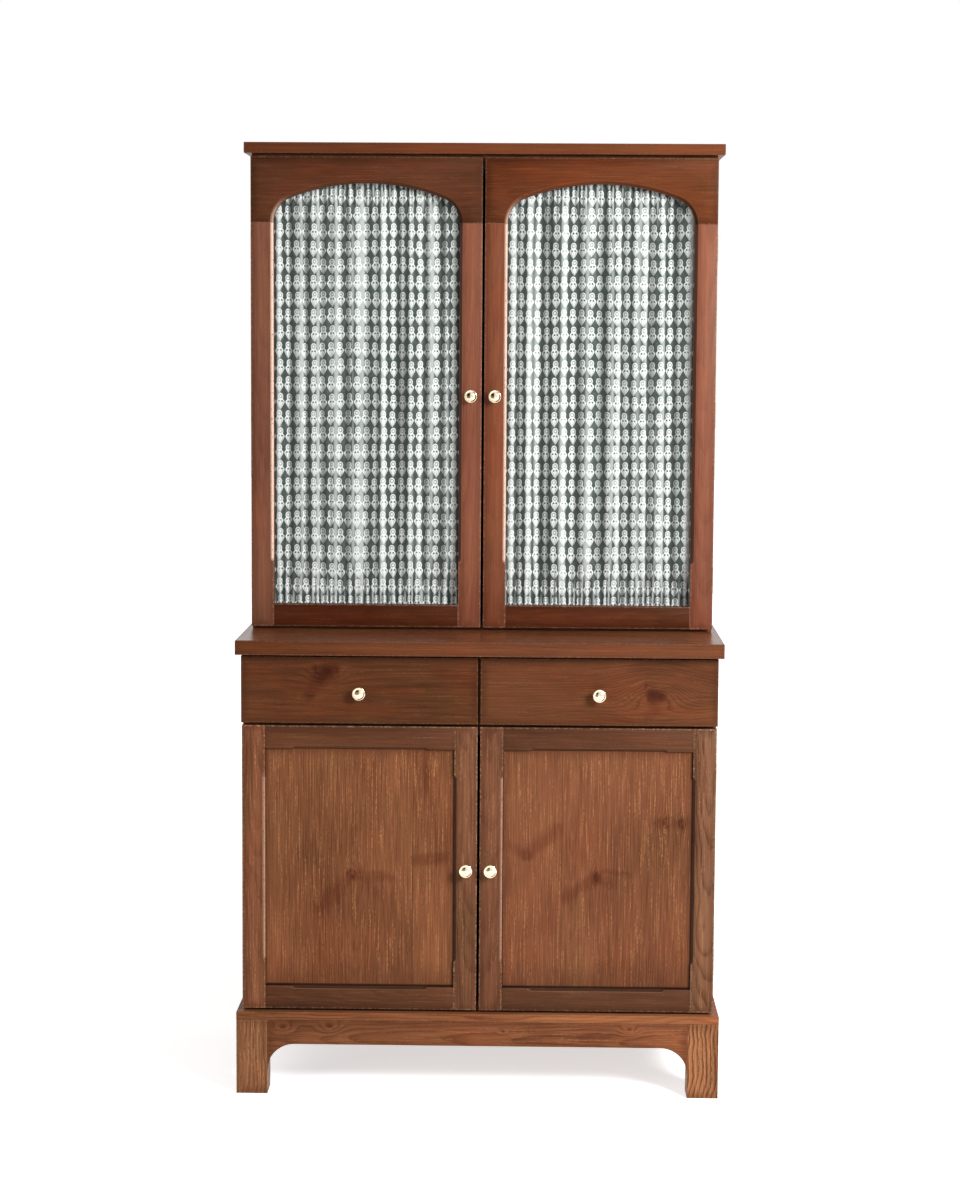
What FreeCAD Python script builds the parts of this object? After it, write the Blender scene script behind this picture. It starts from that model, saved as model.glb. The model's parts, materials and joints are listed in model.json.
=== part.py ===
import FreeCAD, Part
import math
import os

import Sketcher

# Two-piece pine cabinet: a shallow upper cupboard with two arched, curtained
# doors stands on a deeper lower cupboard with two drawers and two panelled
# doors, and the whole stands on a plinth with bracket feet.
#
# Frame: +Z up, +X to the cabinet's right as one faces it, the front looks to -Y.
# The origin is at the middle of the footprint, on the floor. Millimetres.

os.makedirs("parts", exist_ok=True)
doc = FreeCAD.newDocument("Cabinet")

# Driving dimensions
# Each row is a name, a size in millimetres and what it measures.
DIMENSIONS = [
    ("total_height", 1829, "floor to the top of the crown board"),
    ("worktop_height", 882, "floor to the top of the worktop"),
    ("plinth_height", 161, "floor to the top of the plinth board"),
    ("carcase_width", 906, "outside of both cupboards, and of their doors"),
    ("crown_overhang", 12, "crown board past each side of the carcase"),
    ("worktop_overhang", 11, "worktop past each side of the carcase"),
    ("plinth_overhang", 11.5, "plinth past each side of the carcase"),
    ("drawer_overhang", 1.5, "drawer fronts past each side of the carcase"),
    ("worktop_depth", 470, "worktop, front to back"),
    ("upper_setback", 200, "worktop front back to the upper doors' face"),
    ("crown_setback", 191, "worktop front back to the crown board's face"),
    ("lower_setback", 19, "worktop front back to the lower doors' face"),
    ("plinth_setback", 9.5, "worktop front back to the plinth's face"),
    ("crown_thickness", 21, "crown board"),
    ("worktop_thickness", 28, "worktop"),
    ("plinth_board_thickness", 16, "board on top of the plinth"),
    ("edge_round", 1.5, "rounding of the crown, worktop and plinth board"),
    ("side_thickness", 20, "cupboard sides"),
    ("panel_thickness", 18, "tops, bottoms, shelves, drawer deck and divider"),
    ("back_thickness", 8, "back panels"),
    ("back_rabbet", 10, "how far a back panel is let into each side"),
    ("housing_depth", 6, "how far boards are housed into the sides"),
    ("shelf_setback", 26, "shelf front behind the front edge of the sides"),
    ("stretcher_depth", 70, "rails under the worktop, front to back"),
    ("door_thickness", 20, "doors and drawer fronts"),
    ("door_gap", 5, "gap between the two doors, and the two drawer fronts"),
    ("upper_reveal", 5.8, "gap above and below the upper doors"),
    ("drawer_reveal", 4, "gap between worktop and drawer fronts"),
    ("lower_reveal", 5, "gap above and below the lower doors"),
    ("drawer_height", 128, "drawer front"),
    ("front_ease", 1, "rounding of the drawer fronts' edges"),
    ("frame_width", 44, "stiles and rails of all doors"),
    ("arch_crown", 50, "wood above the top of the arch"),
    ("arch_rise", 76.5, "spring of the arch to its top"),
    ("arch_shoulder", 52, "radius at the shoulders of the arch"),
    ("upper_chamfer", 6, "width of the upper doors' stopped chamfer"),
    ("lower_chamfer", 5, "width of the lower doors' stopped chamfer"),
    ("cutter_radius", 6, "core of the cutter that leaves the chamfer stops"),
    ("upper_chamfer_stop", 92, "upper bottom rail up to the chamfer's stop"),
    ("lower_chamfer_stop", 58, "corner of a lower door's panel to a chamfer stop"),
    ("tenon_length", 26, "tenons of the upper doors"),
    ("tenon_thickness", 7, "tenons of the upper doors"),
    ("tenon_shoulder", 8, "shoulder beside a tenon"),
    ("mortise_slack", 0.5, "room below the end of a tenon"),
    ("groove_depth", 10, "panel groove of the lower doors"),
    ("groove_width", 7, "panel groove, and thickness of the panel"),
    ("panel_slack", 2, "room beside a panel in its groove"),
    ("leaf_thickness", 1.2, "hinge leaf"),
    ("leaf_width", 17, "hinge leaf, from the pin's axis"),
    ("leaf_gap", 0.3, "gap between closed leaves"),
    ("hinge_height", 50, "length of a hinge"),
    ("barrel_diameter", 5, "hinge knuckles"),
    ("barrel_clearance", 0.3, "wood and leaves clear of the knuckles"),
    ("knuckle_gap", 0.3, "gap between two knuckles of a hinge"),
    ("hinge_pin_diameter", 2.2, "hinge pin"),
    ("pin_clearance", 0.05, "pin in its knuckles, on the radius"),
    ("pin_head_diameter", 3.8, "head at each end of a hinge pin"),
    ("pin_head_height", 0.9, "head at each end of a hinge pin"),
    ("hinge_inset", 70, "end of a door to the near end of a hinge"),
    ("hinge_below_rail", 20, "arched rail down to the upper doors' top hinge"),
    ("knob_diameter", 25, "brass knob"),
    ("knob_projection", 22, "knob, out of the face it stands on"),
    ("knob_foot_diameter", 15, "foot of the knob on the wood"),
    ("knob_neck_diameter", 9, "neck of the knob"),
    ("knob_foot_height", 2, "foot of the knob"),
    ("knob_foot_cove", 1.5, "slope from the knob's foot to its neck"),
    ("knob_rim", 1.6, "straight rim of the knob's disc"),
    ("knob_cup", 5, "neck to rim, along the knob's axis"),
    ("knob_step_diameter", 17, "raised middle of the knob's face"),
    ("knob_step_height", 1, "raised middle of the knob's face"),
    ("knob_step_slope", 1.2, "slope round the raised middle"),
    ("knob_inset", 21, "middle of a door knob from the door's free edge"),
    ("upper_knob_height", 454, "bottom of an upper door to its knob"),
    ("drawer_knob_drop", 4.5, "middle of a drawer front down to its knob"),
    ("drawer_box_wall", 12, "drawer sides, backs and inner fronts"),
    ("drawer_box_depth", 400, "drawer box, front to back"),
    ("drawer_bottom_thickness", 5, "drawer bottom"),
    ("drawer_bottom_lift", 10, "lower edge of the drawer sides to the bottom"),
    ("drawer_groove", 5, "groove that holds the drawer bottom"),
    ("drawer_side_clearance", 0.8, "drawer box beside its guides"),
    ("drawer_run_clearance", 0.3, "drawer box above the deck"),
    ("drawer_top_clearance", 6, "drawer box below the rail under the worktop"),
    ("foot_width", 60, "foot, seen from the front"),
    ("foot_depth", 60, "foot, seen from the side"),
    ("foot_ease", 1.5, "rounding of a foot's upright edges"),
    ("apron_height", 47, "apron between the feet"),
    ("apron_thickness", 20, "apron"),
    ("bracket_radius", 52, "concave bracket between apron and foot"),
    ("rod_diameter", 6, "curtain rod"),
    ("rod_standoff", 9, "back of the door to the middle of a rod"),
    ("rod_clearance", 0.1, "rod in its ears, on the radius"),
    ("rod_end_inset", 26, "side edge of a door to the end of a rod"),
    ("ear_thickness", 3, "ear that holds a rod's end"),
    ("ear_height", 13, "ear and its plate, up and down"),
    ("plate_width", 12, "screw plate of a rod's ear"),
    ("plate_thickness", 1.5, "screw plate of a rod's ear"),
    ("curtain_thickness", 1.6, "curtain cloth as a solid"),
    ("curtain_fold", 30, "mean width of one fold"),
    ("curtain_wave", 3.6, "depth of a mean fold"),
    ("curtain_fall", 80, "pocket to where the folds have their full depth"),
    ("curtain_header", 9, "cloth beyond the middle of a rod"),
    ("header_clearance", 2, "cloth clear of the boards above and below it"),
    ("curtain_forward", 3, "middle of the cloth before the rods' middles"),
    ("curtain_side_gap", 2, "cloth beside the ears of its rods"),
    ("pocket_wall", 1.8, "cloth round a rod"),
    ("pocket_slack", 0.3, "room round a rod in its pocket"),
    ("catch_width", 40, "double magnetic catch"),
    ("catch_height", 12, "double magnetic catch"),
    ("catch_depth", 15, "double magnetic catch"),
    ("strike_width", 14, "steel strike plate on a door"),
    ("strike_thickness", 1, "steel strike plate on a door"),
    ("catch_gap", 0.3, "closed strike plate from its magnet"),
    ("cut_overrun", 2, "how far a cutting shape passes the wood"),
]
sheet = doc.addObject("Spreadsheet::Sheet", "Dims")


class Size:
    """A length that carries the sheet formula that gives it."""

    def __init__(self, value, formula):
        self.value = value
        self.formula = formula

    def joined(self, other, sign, value):
        right = other.formula if isinstance(other, Size) else "(%s)" % other
        return Size(value, "(%s %s %s)" % (self.formula, sign, right))

    def __add__(self, other):
        return self.joined(other, "+", self.value + plain(other))

    def __sub__(self, other):
        return self.joined(other, "-", self.value - plain(other))

    def __mul__(self, other):
        return self.joined(other, "*", self.value * plain(other))

    def __truediv__(self, other):
        return self.joined(other, "/", self.value / plain(other))

    def __neg__(self):
        return Size(-self.value, "(0 - %s)" % self.formula)


def plain(size):
    """The number of a size, or of a plain number."""
    return size.value if isinstance(size, Size) else size


class Dimensions:
    """The driving dimensions, each by its name in the sheet."""


dim = Dimensions()
for row, (alias, length, note) in enumerate(DIMENSIONS, 1):
    sheet.set("A%d" % row, note)
    sheet.set("B%d" % row, str(length))
    sheet.setAlias("B%d" % row, alias)
    setattr(dim, alias, Size(float(length), "Dims." + alias))
doc.recompute()

ZERO = Size(0.0, "0")
TOLERANCE = 1e-6

# Derived levels and planes
crown_under = dim.total_height - dim.crown_thickness
worktop_under = dim.worktop_height - dim.worktop_thickness
upper_door_bottom = dim.worktop_height + dim.upper_reveal
upper_door_height = crown_under - dim.upper_reveal - upper_door_bottom
drawer_bottom = worktop_under - dim.drawer_reveal - dim.drawer_height
lower_door_bottom = dim.plinth_height + dim.lower_reveal
lower_door_height = drawer_bottom - dim.lower_reveal - lower_door_bottom
crown_width = dim.carcase_width + dim.crown_overhang * 2
worktop_width = dim.carcase_width + dim.worktop_overhang * 2
plinth_width = dim.carcase_width + dim.plinth_overhang * 2
door_width = (dim.carcase_width - dim.door_gap) / 2
drawer_front_width = door_width + dim.drawer_overhang
arched_rail_height = dim.arch_crown + dim.arch_rise
opening_width = door_width - dim.frame_width * 2

# The footprint reaches from the drawer knobs to the back.
middle_depth = (dim.worktop_depth + dim.lower_setback - dim.knob_projection) / 2
worktop_front = -middle_depth
back_plane = dim.worktop_depth - middle_depth
upper_face = worktop_front + dim.upper_setback
lower_face = worktop_front + dim.lower_setback
leaf_space = dim.leaf_thickness * 2 + dim.leaf_gap
upper_carcase_front = upper_face + dim.door_thickness + leaf_space
lower_carcase_front = lower_face + dim.door_thickness + leaf_space
side_inner = dim.carcase_width / 2 - dim.side_thickness

# Levels inside the cupboards, and how high up the room in them a shelf lies
UPPER_SHELF_SHARES = (0.32, 0.657)
LOWER_SHELF_SHARE = 0.493
deck_top = drawer_bottom - dim.lower_reveal / 2 + dim.panel_thickness / 2
deck_under = deck_top - dim.panel_thickness


def bind(thing, name, size):
    """Give a property its size, tied to the sheet."""
    if isinstance(size, Size):
        thing.setExpression(name, size.formula)
    else:
        setattr(thing, name, size)


def place(thing, x, y, z, axis=None, angle=0):
    """Put an object at x, y, z, tied to the sheet, turned about an axis."""
    if axis:
        turn = FreeCAD.Rotation(FreeCAD.Vector(*axis), angle)
        thing.Placement = FreeCAD.Placement(FreeCAD.Vector(), turn)
    for name, size in (("x", x), ("y", y), ("z", z)):
        if isinstance(size, Size):
            thing.setExpression("Placement.Base." + name, size.formula)


def box(name, length, width, height, x, y, z):
    """A square-edged board or block."""
    block = doc.addObject("Part::Box", name)
    block.Label = name
    bind(block, "Length", length)
    bind(block, "Width", width)
    bind(block, "Height", height)
    place(block, x, y, z)
    return block


def rod(name, diameter, length, x, y, z, axis=None, angle=0):
    """A round bar along +Z, or turned about an axis."""
    bar = doc.addObject("Part::Cylinder", name)
    bar.Label = name
    bind(bar, "Radius", diameter / 2)
    bind(bar, "Height", length)
    place(bar, x, y, z, axis, angle)
    return bar


def fuse(name, pieces):
    joined = doc.addObject("Part::MultiFuse", name)
    joined.Label = name
    joined.Shapes = pieces
    return joined


def cut(name, base, tool):
    rest = doc.addObject("Part::Cut", name)
    rest.Label = name
    rest.Base = base
    rest.Tool = tool
    return rest


def group(name, pieces):
    """Several solids that share one node."""
    compound = doc.addObject("Part::Compound", name)
    compound.Label = name
    compound.Links = pieces
    return compound


def new_body(name):
    body = doc.addObject("PartDesign::Body", name)
    body.Label = name
    return body


def sketch_on(body, role, name, x=None, y=None, z=None):
    """A sketch on one of the body's own planes, moved along it or off it."""
    plane = [f for f in body.Origin.OriginFeatures if f.Role == role][0]
    sketch = body.newObject("Sketcher::SketchObject", name)
    sketch.AttachmentSupport = [(plane, "")]
    sketch.MapMode = "FlatFace"
    for key, size in (("x", x), ("y", y), ("z", z)):
        if size is not None:
            sketch.setExpression("AttachmentOffset.Base." + key, size.formula)
    return sketch


def arc_through(start, end, radius, turn):
    """An arc from start to end, turning left (+1) or right (-1)."""
    chord = end - start
    half = chord.Length / 2
    rise = math.sqrt(max(radius ** 2 - half ** 2, 0))
    left = FreeCAD.Vector(-chord.y, chord.x, 0).normalize()
    centre = (start + end) / 2 + left * (rise * turn)
    first, last = (start, end) if turn > 0 else (end, start)
    begin = math.atan2(first.y - centre.y, first.x - centre.x)
    finish = math.atan2(last.y - centre.y, last.x - centre.x)
    circle = Part.Circle(centre, FreeCAD.Vector(0, 0, 1), radius)
    return Part.ArcOfCircle(circle, begin, finish)


def draw(sketch, corners):
    """A closed outline with each corner tied to the sheet.

    A corner is (x, y) where a line follows, or (x, y, radius, turn) where an
    arc follows that turns left (+1) or right (-1).
    """
    count = len(corners)
    spots = [FreeCAD.Vector(plain(c[0]), plain(c[1]), 0) for c in corners]
    ends = []
    for i, corner in enumerate(corners):
        start, end = spots[i], spots[(i + 1) % count]
        if len(corner) == 2:
            edge = sketch.addGeometry(Part.LineSegment(start, end), False)
            ends.append((edge, 1, 2))
            continue
        radius, turn = corner[2], corner[3]
        arc = arc_through(start, end, plain(radius), turn)
        edge = sketch.addGeometry(arc, False)
        ends.append((edge, 1, 2) if turn > 0 else (edge, 2, 1))
        number = sketch.addConstraint(Sketcher.Constraint("Radius", edge, plain(radius)))
        sketch.setExpression("Constraints[%d]" % number, radius.formula)
    for i, (edge, first, last) in enumerate(ends):
        follower = ends[(i + 1) % count]
        joint = Sketcher.Constraint("Coincident", edge, last, follower[0], follower[1])
        sketch.addConstraint(joint)
        for kind, size in (("DistanceX", corners[i][0]), ("DistanceY", corners[i][1])):
            spot = Sketcher.Constraint(kind, -1, 1, edge, first, plain(size))
            number = sketch.addConstraint(spot)
            if isinstance(size, Size):
                sketch.setExpression("Constraints[%d]" % number, size.formula)


def rectangle(x0, y0, x1, y1):
    return [(x0, y0), (x1, y0), (x1, y1), (x0, y1)]


def draw_circle(sketch, x, y, radius):
    spot = FreeCAD.Vector(plain(x), plain(y), 0)
    up = FreeCAD.Vector(0, 0, 1)
    ring = sketch.addGeometry(Part.Circle(spot, up, plain(radius)), False)
    for kind, size in (("DistanceX", x), ("DistanceY", y)):
        number = sketch.addConstraint(Sketcher.Constraint(kind, -1, 1, ring, 3, plain(size)))
        if isinstance(size, Size):
            sketch.setExpression("Constraints[%d]" % number, size.formula)
    number = sketch.addConstraint(Sketcher.Constraint("Radius", ring, plain(radius)))
    sketch.setExpression("Constraints[%d]" % number, radius.formula)


def pad(body, sketch, length, reverse=False):
    feature = body.newObject("PartDesign::Pad", sketch.Name + "Pad")
    feature.Profile = sketch
    bind(feature, "Length", length)
    feature.Reversed = reverse
    body.Tip = feature
    sketch.Visibility = False
    return feature


def pocket(body, sketch, length, reverse=False):
    feature = body.newObject("PartDesign::Pocket", sketch.Name + "Pocket")
    feature.Profile = sketch
    feature.Type = "Length"
    bind(feature, "Length", length)
    feature.Reversed = reverse
    body.Tip = feature
    return feature


def edges_where(feature, test):
    """Names of the edges that pass a test."""
    return ["Edge%d" % number for number, edge in enumerate(feature.Shape.Edges, 1) if test(edge)]


def near(a, b):
    return abs(a - b) < TOLERANCE


def ease_edges(body, feature, names, radius, kind="Fillet"):
    """Round over or chamfer some edges of a body's last feature."""
    ease = body.newObject("PartDesign::" + kind, body.Name + kind)
    ease.Base = (feature, names)
    bind(ease, "Radius" if kind == "Fillet" else "Size", radius)
    body.Tip = ease
    return ease


# Boards with eased edges: crown, worktop and plinth board
def eased_board(name, width, depth, thickness, x, y, z):
    """A board whose front and side edges are rounded over, top and bottom."""
    body = new_body(name)
    outline = sketch_on(body, "XY_Plane", name + "Plan")
    draw(outline, rectangle(ZERO, ZERO, width, depth))
    slab = pad(body, outline, thickness)
    doc.recompute()

    def on_rim(edge):
        middle = edge.CenterOfMass
        level = near(middle.z, 0) or near(middle.z, plain(thickness))
        return level and not near(middle.y, plain(depth))

    ease_edges(body, slab, edges_where(slab, on_rim), dim.edge_round)
    place(body, x, y, z)
    return body


crown_depth = back_plane - worktop_front - dim.crown_setback
plinth_depth = dim.worktop_depth - dim.plinth_setback
plinth_front = worktop_front + dim.plinth_setback
plinth_board_under = dim.plinth_height - dim.plinth_board_thickness

eased_board("crown_board", crown_width, crown_depth, dim.crown_thickness,
            -crown_width / 2, worktop_front + dim.crown_setback, crown_under)
eased_board("worktop", worktop_width, dim.worktop_depth, dim.worktop_thickness,
            -worktop_width / 2, worktop_front, worktop_under)
eased_board("plinth_board", plinth_width, plinth_depth, dim.plinth_board_thickness,
            -plinth_width / 2, plinth_front, plinth_board_under)


# Cupboard sides, with a rabbet for the back, housings for the boards between
# them and a small notch at the front corner for the knuckles of each hinge
barrel_notch = dim.barrel_diameter / 2 + dim.barrel_clearance
notch_reach = dim.pin_head_height + dim.barrel_clearance


def notch_for_barrel(body, name, x, y, z, length):
    """A round notch along a corner, in which a hinge's knuckles turn."""
    ring = sketch_on(body, "XY_Plane", name, z=z - notch_reach)
    draw_circle(ring, x, y, barrel_notch)
    pocket(body, ring, length + notch_reach * 2, reverse=True)


def side_board(name, hand, front, bottom, height, housings, hinge_heights):
    """A cupboard side. Its inner face looks to +X on hand +1, to -X on -1."""
    body = new_body(name)
    depth = back_plane - front
    inner = dim.side_thickness * hand
    rabbet = (dim.side_thickness - dim.back_rabbet) * hand
    shelf_back = depth - dim.back_thickness
    plan = sketch_on(body, "XY_Plane", name + "Plan")
    draw(plan, [(ZERO, ZERO), (inner, ZERO), (inner, shelf_back),
                (rabbet, shelf_back), (rabbet, depth), (ZERO, depth)])
    pad(body, plan, height)
    for number, (low, high, start, end) in enumerate(housings, 1):
        slot = sketch_on(body, "YZ_Plane", "%sHousing%d" % (name, number), z=inner)
        draw(slot, rectangle(start, low - bottom, end, high - bottom))
        pocket(body, slot, dim.housing_depth, reverse=hand < 0)
    for number, level in enumerate(hinge_heights, 1):
        notch_for_barrel(body, "%sNotch%d" % (name, number), ZERO, -leaf_space / 2,
                         level - bottom, dim.hinge_height)
    place(body, dim.carcase_width / 2 * -hand, front, bottom)
    return body


def hinge_levels(bottom, height, top_inset, count):
    """Bottoms of a door's hinges, evenly spread between its insets."""
    first = bottom + dim.hinge_inset
    travel = height - dim.hinge_inset - top_inset - dim.hinge_height
    return [first + travel * number / (count - 1) for number in range(count)]


UPPER_HINGES = 3
LOWER_HINGES = 2
upper_hinges = hinge_levels(upper_door_bottom, upper_door_height,
                            arched_rail_height + dim.hinge_below_rail, UPPER_HINGES)
lower_hinges = hinge_levels(lower_door_bottom, lower_door_height, dim.hinge_inset, LOWER_HINGES)

upper_depth = back_plane - dim.back_thickness - upper_carcase_front
lower_depth = back_plane - dim.back_thickness - lower_carcase_front
upper_floor = dim.worktop_height + dim.panel_thickness
lower_floor = dim.plinth_height + dim.panel_thickness
upper_room = crown_under - dim.panel_thickness - upper_floor
low_shelf, high_shelf = [upper_floor + upper_room * share for share in UPPER_SHELF_SHARES]
cupboard_shelf = lower_floor + (deck_under - lower_floor) * LOWER_SHELF_SHARE
stretcher_under = worktop_under - dim.panel_thickness
rear_stretcher = lower_depth - dim.stretcher_depth


def whole(low, depth):
    """A board's housing over the full depth of its side."""
    return (low, low + dim.panel_thickness, ZERO, depth)


def stopped(low, depth):
    """A shelf's housing, which stops where the shelf starts."""
    return (low, low + dim.panel_thickness, dim.shelf_setback, depth)


upper_housings = [whole(dim.worktop_height, upper_depth),
                  whole(crown_under - dim.panel_thickness, upper_depth),
                  stopped(low_shelf, upper_depth), stopped(high_shelf, upper_depth)]
lower_housings = [whole(dim.plinth_height, lower_depth), whole(deck_under, lower_depth),
                  stopped(cupboard_shelf, lower_depth),
                  (stretcher_under, worktop_under, ZERO, dim.stretcher_depth),
                  (stretcher_under, worktop_under, rear_stretcher, lower_depth)]
for side, hand in (("left", 1), ("right", -1)):
    side_board("upper_%s_side" % side, hand, upper_carcase_front, dim.worktop_height,
               crown_under - dim.worktop_height, upper_housings, upper_hinges)
    side_board("lower_%s_side" % side, hand, lower_carcase_front, dim.plinth_height,
               worktop_under - dim.plinth_height, lower_housings, lower_hinges)


# Boards housed between the sides
board_left = -side_inner - dim.housing_depth
board_width = (side_inner + dim.housing_depth) * 2


def housed_board(name, front, low, start, depth):
    return box(name, board_width, depth, dim.panel_thickness, board_left, front + start, low)


shelf_depth = upper_depth - dim.shelf_setback
housed_board("upper_bottom_panel", upper_carcase_front, dim.worktop_height, ZERO, upper_depth)
housed_board("upper_top_panel", upper_carcase_front, crown_under - dim.panel_thickness,
             ZERO, upper_depth)
group("upper_shelves", [
    housed_board("upper_shelf_%d" % number, upper_carcase_front, low, dim.shelf_setback, shelf_depth)
    for number, low in enumerate((low_shelf, high_shelf), 1)])
housed_board("lower_bottom_panel", lower_carcase_front, dim.plinth_height, ZERO, lower_depth)
housed_board("drawer_deck", lower_carcase_front, deck_under, ZERO, lower_depth)
housed_board("lower_shelf", lower_carcase_front, cupboard_shelf, dim.shelf_setback,
             lower_depth - dim.shelf_setback)
group("stretchers", [
    housed_board("%s_stretcher" % end, lower_carcase_front, stretcher_under, start,
                 dim.stretcher_depth)
    for end, start in (("front", ZERO), ("rear", rear_stretcher))])
box("drawer_divider", dim.panel_thickness, lower_depth, stretcher_under - deck_top,
    -dim.panel_thickness / 2, lower_carcase_front, deck_top)
back_left = -side_inner - dim.back_rabbet
for unit, low, high in (("upper", dim.worktop_height, crown_under),
                        ("lower", dim.plinth_height, worktop_under)):
    box(unit + "_back_panel", (side_inner + dim.back_rabbet) * 2, dim.back_thickness, high - low,
        back_left, back_plane - dim.back_thickness, low)


# Plinth: four feet, bracketed aprons in front and at the sides, a plain rail
# behind
def foot(name, x, y):
    body = new_body(name)
    plan = sketch_on(body, "XY_Plane", name + "Plan")
    draw(plan, rectangle(ZERO, ZERO, dim.foot_width, dim.foot_depth))
    post = pad(body, plan, plinth_board_under)
    doc.recompute()
    upright = edges_where(post, lambda edge: near(edge.CenterOfMass.z, plain(plinth_board_under) / 2))
    ease_edges(body, post, upright, dim.foot_ease)
    place(body, x, y, ZERO)
    return body


def apron(name, length, x, y, angle=0):
    """A rail whose ends reach down along the feet in a concave curve."""
    body = new_body(name)
    radius = dim.bracket_radius
    top = radius + dim.apron_height
    face = sketch_on(body, "XZ_Plane", name + "Face")
    draw(face, [(ZERO, ZERO, radius, -1), (radius, radius),
                (length - radius, radius, radius, -1), (length, ZERO),
                (length, top), (ZERO, top)])
    pad(body, face, dim.apron_thickness, reverse=True)
    place(body, x, y, plinth_board_under - top, (0, 0, 1), angle)
    return body


plinth_left = -plinth_width / 2
right_foot = plinth_width / 2 - dim.foot_width
rear_foot = back_plane - dim.foot_depth
front_run = plinth_width - dim.foot_width * 2
side_run = rear_foot - plinth_front - dim.foot_depth
for end, y in (("front", plinth_front), ("rear", rear_foot)):
    group(end + "_feet", [foot("%s_left_foot" % end, plinth_left, y),
                          foot("%s_right_foot" % end, right_foot, y)])
apron("front_apron", front_run, plinth_left + dim.foot_width, plinth_front)
side_apron_front = plinth_front + dim.foot_depth
group("side_aprons", [
    apron("left_apron", side_run, plinth_left + dim.apron_thickness, side_apron_front, 90),
    apron("right_apron", side_run, plinth_width / 2, side_apron_front, 90)])
box("rear_apron", front_run, dim.apron_thickness, dim.apron_height, plinth_left + dim.foot_width,
    back_plane - dim.apron_thickness, plinth_board_under - dim.apron_height)


# Stiles and rails of the doors. A member lies along its own +Z; its outer edge
# is at x 0, its inner edge at its width, its face at y 0.
def chamfer_stop(body, name, width, z):
    """The round end that the chamfer cutter leaves at z."""
    core = dim.cutter_radius
    over = dim.cut_overrun
    profile = sketch_on(body, "XY_Plane", name, x=dim.frame_width + core, z=z)
    draw(profile, [(ZERO, -over), (-core - width - over, -over), (-core, width), (ZERO, width)])
    end = body.newObject("PartDesign::Groove", name + "Groove")
    end.Profile = profile
    end.ReferenceAxis = (profile, ["V_Axis"])
    end.Angle = 360
    body.Tip = end


def member(name, length, x, y, z, angle, chamfer=None, run=None, stops=(True, True),
           groove=False, tenon=None, mortises=(), notches=()):
    """A stile or a rail.

    run is where the chamfer starts and ends, and stops says at which of the
    two ends the cutter lifts out. tenon is (near edge, far edge, thickness,
    start, end). A mortise is (low, high) on the inner edge, and a notch is the
    bottom of a hinge.
    """
    body = new_body(name)
    width = dim.frame_width
    thickness = dim.door_thickness
    over = dim.cut_overrun
    middle = thickness / 2
    plan = sketch_on(body, "XY_Plane", name + "Plan")
    draw(plan, rectangle(ZERO, ZERO, width, thickness))
    pad(body, plan, length)
    if tenon:
        near_edge, far_edge, tongue, start, end = tenon
        profile = sketch_on(body, "XY_Plane", name + "Tenon", z=start)
        draw(profile, rectangle(near_edge, middle - tongue / 2, far_edge, middle + tongue / 2))
        pad(body, profile, end - start)
    if groove:
        half = dim.groove_width / 2
        profile = sketch_on(body, "XY_Plane", name + "Panel", z=-over)
        draw(profile, rectangle(width - dim.groove_depth, middle - half, width + over, middle + half))
        pocket(body, profile, length + over * 2, reverse=True)
    for number, (low, high) in enumerate(mortises, 1):
        half = dim.tenon_thickness / 2
        profile = sketch_on(body, "YZ_Plane", "%sMortise%d" % (name, number), z=width)
        draw(profile, rectangle(middle - half, low, middle + half, high))
        pocket(body, profile, dim.tenon_length + dim.mortise_slack)
    if run:
        profile = sketch_on(body, "XY_Plane", name + "Chamfer", z=run[0])
        draw(profile, [(width - chamfer - over, -over), (width + over, -over),
                       (width + over, chamfer + over)])
        pocket(body, profile, run[1] - run[0], reverse=True)
        for number, (at, stop) in enumerate(zip(run, stops), 1):
            if stop:
                chamfer_stop(body, "%sStop%d" % (name, number), chamfer, at)
    for number, low in enumerate(notches, 1):
        notch_for_barrel(body, "%sNotch%d" % (name, number), ZERO, thickness + leaf_space / 2,
                         low, dim.hinge_height)
    place(body, x, y, z, (0, 1, 0), angle)
    return body


def stile(name, bottom, height, outer, face, hand, chamfer, run, stops=(True, True),
          groove=False, tenon=None, mortises=(), notches=()):
    """An upright member. Its inner edge looks to +X on hand +1, to -X on -1.

    All places along it are heights above its bottom.
    """
    if hand > 0:
        return member(name, height, outer, face, bottom, 0, chamfer, run, stops,
                      groove, tenon, mortises, notches)
    run = (height - run[1], height - run[0])
    if tenon:
        tenon = tenon[:3] + (height - tenon[4], height - tenon[3])
    mortises = [(height - high, height - low) for low, high in mortises]
    notches = [height - low - dim.hinge_height for low in notches]
    return member(name, height, outer, face, bottom + height, 180, chamfer, run, stops[::-1],
                  groove, tenon, mortises, notches)


# Knobs, turned brass
def knob(name, x, y, z):
    """A disc with a raised middle, on a neck that widens to it, and a foot."""
    body = new_body(name)
    outer = dim.knob_diameter / 2
    inner = dim.knob_step_diameter / 2
    neck = dim.knob_neck_diameter / 2
    base = dim.knob_foot_diameter / 2
    step = dim.knob_step_height
    front = -dim.knob_projection
    face = front + step
    under = face + dim.knob_rim
    profile = sketch_on(body, "XY_Plane", name + "Profile")
    draw(profile, [(ZERO, front), (ZERO, ZERO), (base, ZERO), (base, -dim.knob_foot_height),
                   (neck, -dim.knob_foot_height - dim.knob_foot_cove),
                   (neck, under + dim.knob_cup), (outer, under), (outer, face),
                   (inner, face), (inner - dim.knob_step_slope, front)])
    turned = body.newObject("PartDesign::Revolution", name + "Turned")
    turned.Profile = profile
    turned.ReferenceAxis = (profile, ["V_Axis"])
    turned.Angle = 360
    body.Tip = turned
    place(body, x, y, z)
    return body


# Butt hinges: the leaves lie in the gap between door and side, and the pin
# stands at the outer corner
knuckle_length = (dim.hinge_height - dim.knuckle_gap * 2) / 3


def span_from(axis, hand, near_end, far_end):
    """Left end and length of a stretch that runs inwards from an axis."""
    left = axis + near_end if hand > 0 else axis - far_end
    return left, far_end - near_end


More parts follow.
